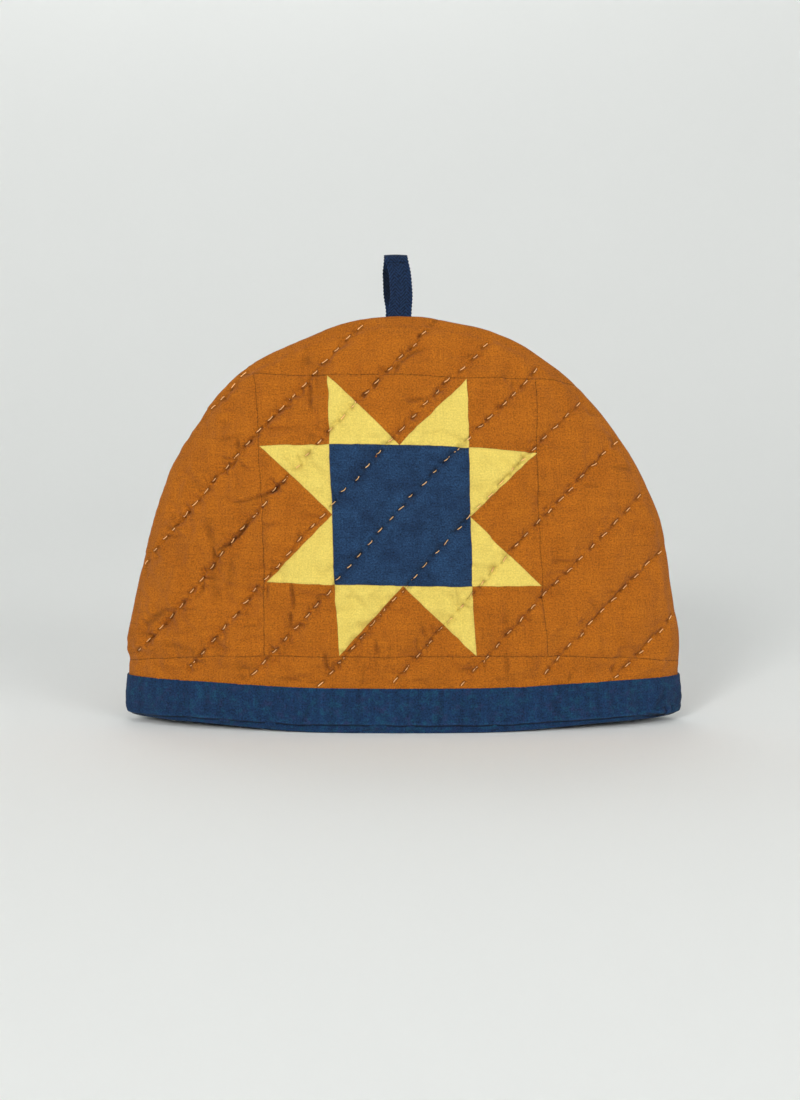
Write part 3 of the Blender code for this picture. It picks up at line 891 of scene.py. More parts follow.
def crowded(x, z, style):
    # where the cloth needs its finer points
    x, z = seenPlace(x, z)
    phase = rowPhase(x, z)
    fine = np.abs(phase - np.round(phase)) * quilt["pitch"] < panel["fineReach"]
    fine |= np.abs(creaseRelief(x, z, style["creases"] + style["puckers"])) > panel["fineRelief"]
    if style["pieced"]:
        found = patches(x, z)
        fine |= np.minimum(found["blockSeams"], found["stripSeams"]) < panel["fineSeam"]
    return fine & (z > cosy["bandTop"] - 0.001)


def stitchPoints(x, z, stitches, shell, share):
    # swaps the lattice for a finer grid of points round each stitch
    grids = []
    keep = np.ones(len(x), dtype=bool)
    across = np.array(panel["stitchGrid"])
    for _, _, turn, length, cx, cz in stitches:
        near, along, aside = besideStitch(x, z, cx, cz, turn, 0.006)
        freed, wide = panel["stitchRoom"]
        keep[near] &= (np.abs(along) >= length / 2 + freed) | (np.abs(aside) >= wide)
        ends = length / 2 + panel["stitchPast"]
        forward, aside = np.meshgrid(np.linspace(-ends, ends, 12), across)
        px = cx + forward * math.cos(turn) - aside * math.sin(turn)
        pz = cz + forward * math.sin(turn) + aside * math.cos(turn)
        grids.append(np.stack([px.ravel(), pz.ravel()], axis=-1))
    extra = np.concatenate(grids)
    dx, dz = shell.slope(*extra.T)
    extra = extra[shell.level(*extra.T) < share - 0.0006 * np.hypot(dx, dz)]
    return np.concatenate([x[keep], extra[:, 0]]), np.concatenate([z[keep], extra[:, 1]])


def triangles(border, x, z):
    flat = [Vector(point) for point in np.concatenate([border, np.stack([x, z], axis=-1)])]
    count = len(border)
    edges = [(number, (number + 1) % count) for number in range(count)]
    _, _, faces, origins, _, _ = delaunay_2d_cdt(flat, edges, [], 1, 1e-8)
    return [[origins[corner][0] for corner in face] for face in faces]


def footLine(left, right, step):
    count = max(round((right - left) / step), 2)
    return np.linspace(right, left, count + 1)[1:-1]


def faceOf(shell, flatRing, step, share, style=None):
    # flat places and triangles of one face inside its innermost ring
    foot = footLine(flatRing[0, 0], flatRing[-1, 0], step)
    footFlat = np.stack([foot, np.full_like(foot, cosy["foot"])], axis=-1)
    x, z = lattice(step, shell, share)
    if style is not None:
        fineX, fineZ = lattice(panel["fineStep"], shell, share)
        keep, extra = ~crowded(x, z, style), crowded(fineX, fineZ, style)
        x, z = np.concatenate([x[keep], fineX[extra]]), np.concatenate([z[keep], fineZ[extra]])
        x, z = stitchPoints(x, z, style["stitches"], shell, share)
    border = np.concatenate([flatRing, footFlat])
    return footFlat, np.stack([x, z], axis=-1), triangles(border, x, z)


def newObject(name, mesh):
    made = bpy.data.objects.new(name, mesh)
    bpy.context.scene.collection.objects.link(made)
    return made


def meshOf(name, points, faces):
    mesh = bpy.data.meshes.new(name)
    mesh.from_pydata(points.tolist(), [], faces)
    mesh.update()
    return mesh


# cloth simulation: the face is a little too big for its wadding and wrinkles between the stitches

simulation = {
    "frames": 16,
    "cloth": {
        "quality": 5,
        "mass": 0.12,
        "tension_stiffness": 40.0,
        "compression_stiffness": 40.0,
        "shear_stiffness": 40.0 / 3,
        "bending_stiffness": 0.02,
        "tension_damping": 10.0,
        "pin_stiffness": 2.0,
        "shrink_min": -0.045,   # share of spare cloth
        "use_pressure": True,
        "uniform_pressure_force": 1.2,
    },
    "start": (0.00012, 150),    # depth and scale of the unevenness that it starts from
    "hold": 0.10,
    "sewn": 0.0015,             # half the width that a stitch holds
    "cap": 0.0022,
}


def heldShares(flat, border, style):
    # how firmly each point is held: fully on the border, under the band and at the stitches
    x, z = flat.T
    held = np.full(len(flat), simulation["hold"])
    held[:border] = 1.0
    held[z < cosy["bandTop"]] = 1.0
    for _, _, turn, length, cx, cz in style["stitches"]:
        near, along, across = besideStitch(x, z, cx, cz, turn, 0.006)
        held[near[(np.abs(along) < length / 2) & (np.abs(across) < simulation["sewn"])]] = 1.0
    return held


def simulated(points, faces, held):
    # where Blender's cloth carries the points
    mesh = meshOf("wrinkling", points, faces)
    cloth = newObject("wrinkling", mesh)
    pins = cloth.vertex_groups.new(name="pins")
    for weight in np.unique(held):
        pins.add(np.nonzero(held == weight)[0].tolist(), float(weight), "REPLACE")
    rule = cloth.modifiers.new("Cloth", "CLOTH")
    for setting, value in simulation["cloth"].items():
        setattr(rule.settings, setting, value)
    rule.settings.vertex_group_mass = "pins"
    rule.settings.effector_weights.gravity = 0.0
    rule.collision_settings.use_collision = False
    rule.collision_settings.use_self_collision = False
    rule.point_cache.frame_start = 1
    rule.point_cache.frame_end = simulation["frames"]
    scene = bpy.context.scene
    for number in range(1, simulation["frames"] + 1):
        scene.frame_set(number)
    baked = cloth.evaluated_get(bpy.context.evaluated_depsgraph_get()).to_mesh()
    end = np.empty(len(points) * 3)
    baked.vertices.foreach_get("co", end)
    bpy.data.objects.remove(cloth, do_unlink=True)
    bpy.data.meshes.remove(mesh)
    scene.frame_set(1)
    return end.reshape(-1, 3)


def wrinkle(style):
    # moves of the face's cloth, at flat places
    _, flatRing = outerRing(rimAngles(panel["simStep"], False), panel["rings"][-1], style, plain=True)
    share = float(outerShell.shareAt(panel["rings"][-1], cosy["height"] / 2))
    footFlat, inside, faces = faceOf(outerShell, flatRing, panel["simStep"], share)
    flat = np.concatenate([flatRing, footFlat, inside])
    x, z = flat.T
    start = np.stack([x, -outerShell.bow(x, z), z], axis=-1)
    lift = -rollDip(*seenPlace(x, z)) * edgeFade(x, z)
    depth, scale = simulation["start"]
    lift += depth * roughness(np.stack([x, z, np.zeros_like(x)], axis=-1), scale, style["seed"] + 9)
    start += outerShell.normal(x, z) * lift[:, None]
    moved = simulated(start, faces, heldShares(flat, len(flatRing) + len(footFlat), style)) - start
    length = np.linalg.norm(moved, axis=1)
    print(f"cloth of {style['name']}: {len(flat)} points, mean move {length.mean() * 1000:.2f} mm, "
          f"largest {length.max() * 1000:.2f} mm")
    moved *= (simulation["cap"] * np.tanh(length / simulation["cap"]) / np.maximum(length, 1e-9))[:, None]
    return flat, moved


def sampled(wrinkles, x, z):
    # the simulated moves read at other places, each from its nearest few points
    flat, moved = wrinkles
    tree = kdtree.KDTree(len(flat))
    for number, (px, pz) in enumerate(flat):
        tree.insert((px, pz, 0), number)
    tree.balance()
    reach = panel["simStep"] * 0.62
    result = np.zeros((len(x), 3))
    for number, (px, pz) in enumerate(zip(x, z)):
        found = tree.find_n((px, pz, 0), 7)
        share = np.array([math.exp(-(gap / reach) ** 2) for _, _, gap in found])
        result[number] = share @ moved[[index for _, index, _ in found]] / share.sum()
    return result


def addMap(mesh, name, places):
    # a UV map from one place for each vertex
    layer = mesh.uv_layers.new(name=name, do_init=False)
    corners = np.empty(len(mesh.loops), dtype=np.int32)
    mesh.loops.foreach_get("vertex_index", corners)
    layer.data.foreach_set("uv", places[corners].astype(np.float32).ravel())


def addShade(mesh, values):
    # painted shade: the share of its colour that each point of the cloth loses
    layer = mesh.attributes.new("paintedShading", "FLOAT", "POINT")
    layer.data.foreach_set("value", values.astype(np.float32))


def faceOut(mesh):
    work = bmesh.new()
    work.from_mesh(mesh)
    bmesh.ops.recalc_face_normals(work, faces=work.faces[:])
    loose = sum(1 for edge in work.edges if len(edge.link_faces) != 2)
    work.to_mesh(mesh)
    work.free()
    mesh.shade_smooth()
    return loose


def drawnPiece(name, rows, ring, places, shades, material, note):
    # a section drawn along a line, one row for each of its points; it is a ring or has two caps
    count, length = len(rows), len(rows[0])
    faces = []
    for row in range(count):
        low, high = row * length, (row + 1) % count * length
        for number in range(length if ring else length - 1):
            after = (number + 1) % length
            faces.append((low + number, low + after, high + after, high + number))
    if not ring:
        faces += [[row * length + end for row in range(count)] for end in (0, length - 1)]
    mesh = meshOf(name, np.concatenate(rows), faces)
    addMap(mesh, "weave", places)
    # painted shade, one value for each point
    addShade(mesh, np.concatenate(shades))
    mesh.materials.append(material)
    loose = faceOut(mesh)
    print(f"{name}: {len(faces) * 2} triangles, {loose} open edges, {note}")
    return newObject(name, mesh)


def clothPlaces(flat, shell):
    # lengths along the bowed cloth, so that its weave isn't stretched where it turns away
    xs = np.linspace(-cosy["halfWidth"], cosy["halfWidth"], 141)
    zs = np.linspace(0, cosy["height"], 101)
    gridX, gridZ = np.meshgrid(xs, zs, indexing="ij")
    bow = shell.bow(gridX, gridZ)
    alongX = np.cumsum(np.hypot(np.diff(bow, axis=0, prepend=bow[:1]), xs[1] - xs[0]), axis=0)
    alongX -= alongX[70:71]
    alongZ = np.cumsum(np.hypot(np.diff(bow, axis=1, prepend=bow[:, :1]), zs[1] - zs[0]), axis=1)
    column = np.clip((flat[:, 0] - xs[0]) / (xs[1] - xs[0]), 0, len(xs) - 1.001)
    row = np.clip((flat[:, 1] - zs[0]) / (zs[1] - zs[0]), 0, len(zs) - 1.001)
    i, j = column.astype(int), row.astype(int)
    s, t = column - i, row - j
    places = []
    for grid in (alongX, alongZ):
        low = grid[i, j] * (1 - s) + grid[i + 1, j] * s
        high = grid[i, j + 1] * (1 - s) + grid[i + 1, j + 1] * s
        places.append(low * (1 - t) + high * t)
    return np.stack(places, axis=-1)


def paintedStitchShade(x, z, stitches):
    # painted shade beside the thread where it presses the cloth down, darker above than below
    place, width, end, lower = quilt["shade"]
    shade = np.zeros_like(x)
    for cx, cz, turn, length, _, _ in stitches:
        near, along, across = besideStitch(x, z, cx, cz, turn, 0.006)
        past = np.maximum(np.abs(along) - length / 2, 0)
        close = np.exp(-((np.abs(across) - place) / width) ** 2 - (past / end) ** 2)
        shade[near] = np.maximum(shade[near], close * np.where(across > 0, 1.0, lower))
    return shade


class Surface:
    # a panel's points, their flat places and its faces, as they are added
    def __init__(self):
        self.points = []
        self.flats = []
        self.faces = []

    def add(self, block, flat):
        start = sum(len(part) for part in self.points)
        self.points.append(block)
        self.flats.append(flat)
        return list(range(start, start + len(block)))

    def strip(self, ring, other):
        for number in range(len(ring) - 1):
            self.faces.append((ring[number], ring[number + 1], other[number + 1], other[number]))

    def fill(self, shell, ring, distance, step, style=None, wrinkles=None):
        # the face inside the innermost ring, and its line of points along the foot
        flatRing = np.concatenate(self.flats)[ring]
        share = float(shell.shareAt(distance, cosy["height"] / 2))
        footFlat, inside, found = faceOf(shell, flatRing, step, share, style)
        places = np.concatenate([footFlat, inside])
        x, z = places.T
        block = np.stack([x, -shell.bow(x, z), z], axis=-1)
        if style:
            lift = relief(x, z, style)
            lift[:len(footFlat)] = 0
        else:
            block[:, 1] = np.minimum(block[:, 1], -panel["innerApart"])
            lift = -0.5 * rollDip(x, z) * edgeFade(x, z)
        block += shell.normal(x, z) * lift[:, None]
        if wrinkles:
            block[len(footFlat):] += sampled(wrinkles, *inside.T)
        block[:len(footFlat), 2] = cosy["foot"]
        index = self.add(block, places)
        border = ring + index
        self.faces.extend([[border[corner] for corner in face] for face in found])
        return index[:len(footFlat)]


def clothShade(flat, style):
    # painted shade: colour darkened where a stitch, a crease or a pucker draws the cloth in
    x, z = seenPlace(*flat.T)
    shade = panel["stitchShade"] * paintedStitchShade(x, z, style["stitches"])
    for kind in ("creases", "puckers"):
        shade += panel["shades"][kind] * clip01(-creaseRelief(x, z, style[kind]) / panel["hollow"])
    return np.minimum(shade, panel["deepest"])


def buildPanel(name, side, style, clothMaterial, liningMaterial):
    angles = rimAngles(panel["rimStep"], True)
    wrinkles = wrinkle(style)
    gap = cosy["seamGap"]
    made = Surface()
    outerRings = [made.add(*outerRing(angles, distance, style)) for distance in (gap, *panel["rings"])]
    innerRings = [made.add(*innerRing(angles, distance)) for distance in (gap, *panel["innerRings"])]
    made.strip(innerRings[0], outerRings[0])
    for rings in (outerRings, innerRings):
        for ring, other in zip(rings, rings[1:]):
            made.strip(ring, other)
    outerFoot = made.fill(outerShell, outerRings[-1], panel["rings"][-1], panel["step"], style, wrinkles)
    innerStart = len(made.faces)
    innerFoot = made.fill(innerShell, innerRings[-1], panel["innerRings"][-1], panel["innerStep"])
    left = [ring[0] for ring in [innerRings[0]] + outerRings]
    right = [ring[-1] for ring in [innerRings[0]] + outerRings]
    outline = left + outerFoot[::-1] + right[::-1]
    outline += [ring[-1] for ring in innerRings[1:]] + innerFoot
    outline += [ring[0] for ring in reversed(innerRings[1:])]
    made.faces.append(outline)

    used = np.unique(np.concatenate(made.faces))
    flat = np.concatenate(made.flats)[used]
    faces = [np.searchsorted(used, face).tolist() for face in made.faces]
    block = settle(np.concatenate(made.points)[used])
    block[:, 1] *= -side
    mesh = meshOf(name, block, faces)
    addMap(mesh, "patch", np.column_stack(seenPlace(*flat.T)))
    addMap(mesh, "weave", clothPlaces(flat, outerShell))
    mesh.materials.append(clothMaterial)
    mesh.materials.append(liningMaterial)
    kinds = np.zeros(len(faces), dtype=np.int32)
    kinds[innerStart:] = 1
    mesh.polygons.foreach_set("material_index", kinds)
    loose = faceOut(mesh)
    # painted shade at the stitches, creases and puckers
    addShade(mesh, clothShade(flat, style))
    total = sum(len(face) - 2 for face in faces)
    print(f"{name}: {total} triangles, {loose} open edges")
    return newObject(name, mesh)


# the binding folds round both panels' lower edges, and its two cut edges are turned in
band = {
    "stations": 620,
    "top": 0.0270,
    "gap": 0.0003,
    "innerGap": 0.0007,
    "thickness": 0.0011,
    "innerTop": 0.0190,
    "floor": 0.0014,
    "lowest": 0.0016,
    "thinning": (0.018, 0.027),
    "foot": 0.0006,
    "sideDip": (0.0009, 0.0020),        # depth and width of the dip at each side seam
    "facePoints": (0.0070, 28, 26),     # where the points get closer, how many above and below
    "lip": (0.0051, 0.0026, 0.00075),   # height in the middle and at the sides, and its depth
    "roll": (0.00025, 0.0009),          # the lip's own fold is rounded
    "lipReach": 0.155,
    "lipWave": 0.0003,
    "ripple": 0.00065,
    "ripples": ((1.0, 95, 26), (0.25, 330, 330)),       # share, and scales along and up the band
    "rippleFade": (0.015, 0.023),
    "stitchPitch": 0.0031,
    "stitchDent": 0.00018,
    "topDip": 0.00014,
    "shades": ((0.70, -0.0004, 0.0006), (-0.30, 0.0007, 0.0005)),   # painted shade under the lip, then painted highlight on it: share, place and width
    "creaseShade": (0.5, 0.0012),       # painted shade in the creases of the front and painted highlight on their ridges: share and the depth at which it is full
    "creases": (
        (-54.7, 21, -57.5, 12, -61.9, 3.0, 0.45, 1.5),
        (150, 4, 156, 10, 159, 22, 0.4, 1.3),
        (147, 4.2, 154, 1.6, 161, 2.6, 1.2, 0.8),
        (157, 8, 161, 5, 160, 1.6, 0.8, 0.7),
        (162, 9, 165, 6, 163, 2.4, 0.8, 0.7),
        (20, 21, 22, 12, 19, 5, 0.25, 2.0),
        (88, 22, 90, 13, 97, 5, 0.30, 1.8),
        (-118, 22, -116, 12, -120, 6, 0.30, 2.0),
        (-20, 20, -14, 15, -8, 6, 0.25, 1.6),
        (122, 20, 127, 14, 126, 6, 0.30, 1.6),
    ),
}


def bandAngles(count):
    # even steps round the hem, closer where it turns
    angles = np.linspace(0, math.tau, 8001)
    points = outerShell.plan(angles, 0.0)
    heading = np.unwrap(np.arctan2(*np.diff(points, axis=0).T[::-1]))
    turning = np.abs(np.diff(heading, prepend=heading[:1])) * 0.012
    travelled = np.concatenate([[0], np.cumsum(np.hypot(*np.diff(points, axis=0).T) + turning)])
    goals = np.linspace(0, travelled[-1], count + 1)[:-1]
    return np.interp(goals, travelled, angles)


def lipHeight(x, run):
    # the outer fold ends a little above the binding's lower edge
    middle, side, _ = band["lip"]
    line = middle + (side - middle) * np.minimum((x / band["lipReach"]) ** 2, 1.1)
    return line + band["lipWave"] * unevenness(run * 60, 7.0, 1.0, 24)


def stitchWave(run):
    # 1 at each stitch that holds the band's top edge
    return (np.cos(math.tau * run / band["stitchPitch"]) * 0.5 + 0.5) ** 3


def bandRelief(x, y, run, z):
    height = np.zeros_like(run)
    for number, (share, long, wide) in enumerate(band["ripples"]):
        height += share * band["ripple"] * unevenness(run * long, z * wide, 3.0, 21 + number)
    height *= 1 - 0.8 * ease(*band["rippleFade"], z)
    lip = lipHeight(x, run)
    height -= band["lip"][2] * clip01((lip - z) / 0.0005 + 0.5)
    roll, width = band["roll"]
    height += roll * np.exp(-((z - lip - width) / width) ** 2)
    height -= band["stitchDent"] * stitchWave(run) * np.exp(-((z - band["top"]) / 0.0014) ** 2)
    front = creaseRelief(x, np.full_like(x, z), band["creases"])
    return height + np.where(y < 0, front, 0)


def bandSection():
    # shell, offset, height and share of the relief, from the outer fold down and up the inside
    gap, thick, top = band["gap"], band["thickness"], band["top"]
    section = []
    fold = thick / 2
    for turn in np.linspace(math.pi, 0, 7):
        offset = gap + fold * 0.7 * (1 + math.cos(turn))
        section.append((outerShell, offset, top - fold + fold * math.sin(turn), 0.5))
    closer, upper, lower = band["facePoints"]
    low = band["lowest"]
    for height in [*np.linspace(top - fold, closer, upper)[1:], *np.linspace(closer, low, lower)[1:]]:
        thinner = 1 - 0.3 * float(ease(*band["thinning"], height))
        section.append((outerShell, gap + thick * thinner, height, 1.0))
    rounded = ((gap + 0.0009, 0.0008, 0.8), (gap + 0.0005, 0.0003, 0.5), (-band["foot"], 0.0, 0))
    section += [(outerShell, *row) for row in rounded]
    inner, rise = -band["innerGap"], band["innerTop"]
    section.append((innerShell, band["foot"], 0.0, 0))
    section.append((innerShell, inner - 0.0006, 0.0005, 0))
    for height in np.linspace(low, rise - fold, 7):
        section.append((innerShell, inner - thick, height, 0))
    for turn in np.linspace(math.pi, 0, 5)[1:]:
        offset = inner - fold + fold * math.cos(turn)
        section.append((innerShell, offset, rise - fold + fold * math.sin(turn), 0))
    for height in np.linspace(rise - fold, band["floor"], 5)[1:]:
        section.append((innerShell, inner, height, 0))
    for height in np.linspace(band["floor"], top - fold, 9)[:-1]:
        section.append((outerShell, gap, height, 0))
    return section


def bandShade(here, past, crease):
    # painted shade under the lip, painted highlight on it, and painted shade in the creases of the front with
    # painted highlight on their ridges
    shade = np.zeros_like(past)
    for share, place, width in band["shades"]:
        shade += share * np.exp(-((past - place) / width) ** 2)
    share, hollow = band["creaseShade"]
    return shade + share * np.where(here[:, 1] < 0, np.clip(-crease / hollow, -0.5, 1), 0)


def buildBand(name, material):
    angles = bandAngles(band["stations"])
    plain = outerShell.plan(angles, 0.0)
    hop = np.hypot(*(np.roll(plain, -1, axis=0) - plain).T)
    run = np.concatenate([[0], np.cumsum(hop)[:-1]])
    around = hop.sum()
    run *= round(around / band["stitchPitch"]) * band["stitchPitch"] / around
    rows, shades = [], []
    seam, reach = band["sideDip"]
    for shell, offset, height, share in bandSection():
        before, here, after = (shell.plan(angles + turn, height) for turn in (-0.004, 0, 0.004))
        outward = np.stack([(after - before)[:, 1], -(after - before)[:, 0]], axis=-1)
        outward /= np.linalg.norm(outward, axis=-1, keepdims=True)
        moved = np.full(len(angles), offset)
        if shell is outerShell:
            moved -= seam * np.exp(-(here[:, 1] / reach) ** 2)
        if share:
            moved += share * bandRelief(here[:, 0], here[:, 1], run, height)
        place = here + outward * moved[:, None]
        heights = np.full(len(angles), height)
        crease = creaseRelief(here[:, 0], heights, band["creases"])
        past = heights - lipHeight(here[:, 0], run)
        if share == 0.5 and height > 0.02:
            heights -= band["topDip"] * stitchWave(run)
        rows.append(settle(np.column_stack([place, heights])))
        # painted shade and highlight, on the outer face only
        shades.append(bandShade(here, past, crease) * (share == 1.0))
    hops = [float(np.linalg.norm(after[0] - before[0])) for before, after in zip(rows, rows[1:])]
    travelled = np.cumsum([0] + hops)
    places = np.column_stack([np.tile(run, len(rows)), np.repeat(travelled, len(run))])
    piece = drawnPiece(name, rows, True, places, shades, material, f"{around * 1000:.0f} mm round")
    return piece, around, travelled[-1] / 2


# the hanging loop is one length of herringbone tape, its ends in the seam
tape = {
    "legStep": 0.0004,
    "topSteps": 40,
    "across": 34,
    "edge": 0.00016,
    "edgePitch": 0.0021,
    "sag": 0.0004,
    "sagSpan": (0.245, 0.04),   # where it starts, and how far it goes on
    "swell": 0.00012,
    "shade": 0.6,               # painted shade on the leg behind, where the front leg covers it
    "freeFrom": (0.249, 0.262),
    "freeTo": 0.272,
    "turned": 0.07,
    "stripe": 0.0035,           # half of one chevron
    "rib": 0.00210,
    "yarn": 0.00055,
    "relief": 0.00018,
}


def tapePath():
    crown = loop["top"] - loop["thickness"] / 2 - loop["radius"]
    narrow = cosy["seamGap"] + loop["thickness"] / 2
    heights = np.arange(loop["root"], crown, tape["legStep"])
    side = narrow + (loop["radius"] - narrow) * ease(*loop["spread"], heights)
    turn = np.linspace(math.pi, 0, tape["topSteps"] + 1)
    top = np.stack([loop["radius"] * np.cos(turn), crown + loop["radius"] * np.sin(turn)], axis=-1)
    front = np.stack([-side, heights], axis=-1)
    back = np.stack([side, heights], axis=-1)[::-1]
    return np.concatenate([front, top, back])


def buildLoop(name, material):
    path = tapePath()
    hop = np.hypot(*np.diff(path, axis=0).T)
    run = np.concatenate([[0], np.cumsum(hop)])
    share = run / run[-1]
    heading = np.gradient(path, run, axis=0)
    half, thick = loop["width"] / 2, loop["thickness"] / 2
    bevel = thick * 0.8
    across = np.linspace(-half + bevel, half - bevel, tape["across"])
    section = []                # place across the tape and distance out of its middle
    for side, first in ((1, -math.pi / 2), (-1, math.pi / 2)):
        section += [(place, -side * thick) for place in across[::side]]
        for turn in np.linspace(first, first + math.pi, 7)[1:-1]:
            section.append((side * (half - bevel) + bevel * math.cos(turn), thick * math.sin(turn)))
    scallop = np.sin(run * math.tau / tape["edgePitch"]) * tape["edge"]
    front = share < 0.5
    low, span = tape["sagSpan"]
    sag = tape["sag"] * np.sin(math.pi * clip01((path[:, 1] - low) / span)) * front
    rows, shades = [], []
    for place, out in section:
        near = np.abs(place / half)
        x = loop["x"] - loop["twist"] * (share - 0.5) + place
        x = x - loop["lean"] * clip01((path[:, 1] - loop["leanSpan"][0]) / loop["leanSpan"][1]) ** 1.5
        # the front leg hangs to the right of the one behind it, turned a little
        free = ease(*tape["freeFrom"], path[:, 1]) * (1 - ease(tape["freeTo"], loop["top"], path[:, 1]))
        x = x + free * (loop["apart"] * np.where(front, 1, -1) - np.where(front, tape["turned"], 0) * place)
        x = x + np.sign(place) * scallop * near ** 6
        if place > 0:
            x = x + sag * near ** 2
        swell = tape["swell"] * np.cos(place / half * math.pi) * np.sign(out)
        y = path[:, 0] - heading[:, 1] * (out + swell)
        z = path[:, 1] + heading[:, 0] * (out + swell)
        rows.append(settle(np.column_stack([x, y, z])))
        # painted shade on the inner side of the leg behind
        shades.append(tape["shade"] * free * (share > 0.5) * (out < 0))
    across = np.repeat([place for place, _ in section], len(run))
    places = np.column_stack([across, np.tile(run, len(rows))])
    piece = drawnPiece(name, rows, False, places, shades, material, f"{run[-1] * 1000:.0f} mm of tape")
    return piece, run[-1]


# Geometry Nodes lay one stitch of thread on each point
def stitchTree():
    tree = bpy.data.node_groups.new("quilting stitches", "GeometryNodeTree")
    face = tree.interface
    face.new_socket("Geometry", in_out="INPUT", socket_type="NodeSocketGeometry")
    face.new_socket("Geometry", in_out="OUTPUT", socket_type="NodeSocketGeometry")
    wanted = (
        ("Thread Radius", "NodeSocketFloat"), ("Rise", "NodeSocketFloat"), ("Sink", "NodeSocketFloat"),
        ("Sides", "NodeSocketInt"), ("Steps", "NodeSocketInt"), ("Seed", "NodeSocketInt"),
        ("Material", "NodeSocketMaterial"),
    )
    for name, kind in wanted:
        face.new_socket(name, in_out="INPUT", socket_type=kind)
    shop = Shop(tree)
    given = shop.node("NodeGroupInput").outputs
    rise, sink = Flow(shop, given["Rise"]), Flow(shop, given["Sink"])
    lift = (rise + sink * 0.25) / 0.75
    arc = shop.out("GeometryNodeCurvePrimitiveBezierSegment", {"mode": "POSITION"}, {
        "Resolution": given["Steps"],
        "Start": shop.vector(-0.5, 0.0, -sink),
        "Start Handle": shop.vector(-0.40, 0.0, lift),
        "End Handle": shop.vector(0.40, 0.0, lift),
        "End": shop.vector(0.5, 0.0, -sink),
    })
    place = Flow(shop, shop.out("GeometryNodeSplineParameter", None, None, "Factor"))
    plump = shop.out("GeometryNodeSetCurveRadius", None, {
        "Curve": arc, "Radius": wave(place * math.pi) * 0.4 + 0.65,
    })
    ring = shop.out("GeometryNodeCurvePrimitiveCircle", {"mode": "RADIUS"}, {
        "Resolution": given["Sides"], "Radius": given["Thread Radius"],
    })
    index = Flow(shop, shop.out("GeometryNodeInputIndex"))

    def stored(geometry, name, value, domain="POINT"):
        settings = {"data_type": "FLOAT", "domain": domain}
        inputs = {"Geometry": geometry, "Name": name, "Value": value}
        return shop.out("GeometryNodeStoreNamedAttribute", settings, inputs)

    def named(name, kind):
        return shop.out("GeometryNodeInputNamedAttribute", {"data_type": kind}, {"Name": name})

    thread = shop.out("GeometryNodeCurveToMesh", None, {
        "Curve": stored(plump, "lengthwise", place),
        "Profile Curve": stored(ring, "around", index / Flow(shop, given["Sides"])),
        "Fill Caps": True,
        "Scale": shop.out("GeometryNodeInputRadius"),
    })
    turn = shop.out("FunctionNodeAxesToRotation", {"primary_axis": "Z", "secondary_axis": "X"}, {
        "Primary Axis": named("up", "FLOAT_VECTOR"), "Secondary Axis": named("heading", "FLOAT_VECTOR"),
    })
    laid = shop.out("GeometryNodeInstanceOnPoints", None, {
        "Points": given["Geometry"],
        "Instance": thread,
        "Rotation": turn,
        "Scale": shop.vector(Flow(shop, named("long", "FLOAT")), 1.0, 1.0),
    })
    chance = shop.out("FunctionNodeRandomValue", {"data_type": "FLOAT"}, {"Seed": given["Seed"]}, "Value")
    shaded = stored(laid, "shade", chance, "INSTANCE")
    real = shop.out("GeometryNodeRealizeInstances", None, {"Geometry": shaded})
    smooth = shop.out("GeometryNodeSetShadeSmooth", None, {"Geometry": real})
    dressed = shop.out("GeometryNodeSetMaterial", None, {"Geometry": smooth, "Material": given["Material"]})
    shop.node("NodeGroupOutput", None, {0: dressed})
    return tree


def buildStitches(name, side, piece, style, tree, material):
    # points on the finished cloth, read from the panel itself
    centres, ups, headings, longs = [], [], [], []
    for x, z, turn, length, _, _ in style["stitches"]:
        spots = []
        for share in (-0.42, 0.0, 0.42):
            px = x + share * length * math.cos(turn)
            pz = z + share * length * math.sin(turn)
            hit, where, normal, _ = piece.ray_cast(Vector((px, side * 0.08, pz)), Vector((0, -side, 0)))
            if hit:
                spots.append((where.copy(), normal.copy()))
        if len(spots) < 3:
            continue
        centres.append((spots[0][0] + spots[1][0] * 2 + spots[2][0]) / 4)
        ups.append((spots[0][1] + spots[1][1] + spots[2][1]).normalized())
        headings.append((spots[2][0] - spots[0][0]).normalized())
        longs.append(length)
    mesh = bpy.data.meshes.new(name)
    mesh.from_pydata(centres, [], [])
    for label, kind, values in (
        ("up", "FLOAT_VECTOR", ups), ("heading", "FLOAT_VECTOR", headings), ("long", "FLOAT", longs),
    ):
        layer = mesh.attributes.new(label, kind, "POINT")
        field = "vector" if kind == "FLOAT_VECTOR" else "value"
        layer.data.foreach_set(field, np.array(values, dtype=np.float32).ravel())
    made = newObject(name, mesh)
    rule = made.modifiers.new("stitches", "NODES")
    rule.node_group = tree
    given = {
        "Thread Radius": quilt["thread"], "Rise": quilt["rise"], "Sink": quilt["sink"],
        "Sides": 8, "Steps": 13, "Seed": style["seed"], "Material": material,
    }
    for socket in tree.interface.items_tree:
        if socket.name in given:
            rule[socket.identifier] = given[socket.name]
    graph = bpy.context.evaluated_depsgraph_get()
    graph.update()
    real = bpy.data.meshes.new_from_object(made.evaluated_get(graph), depsgraph=graph)
    made.modifiers.clear()
    made.data = real
    total = sum(len(face.vertices) - 2 for face in real.polygons)
    print(f"{name}: {len(centres)} stitches, {total} triangles")
    return made


# materials
def newMaterial(name, settings):
    material = bpy.data.materials.new(name)
    material.use_nodes = True
    shop = Shop(material.node_tree)
    shader = material.node_tree.nodes["Principled BSDF"]
    for key, value in settings.items():
        shader.inputs[key].default_value = value
    return material, shop, shader


weave = {
    "yarn": 0.00050,            # from one yarn to the next
    "slubLength": 0.0110,
    "slubWidth": 0.00062,
    "lineLength": 0.060,
    "lineWidth": 0.0026,
    "wander": 0.0006,
    "lift": 0.00005,
}


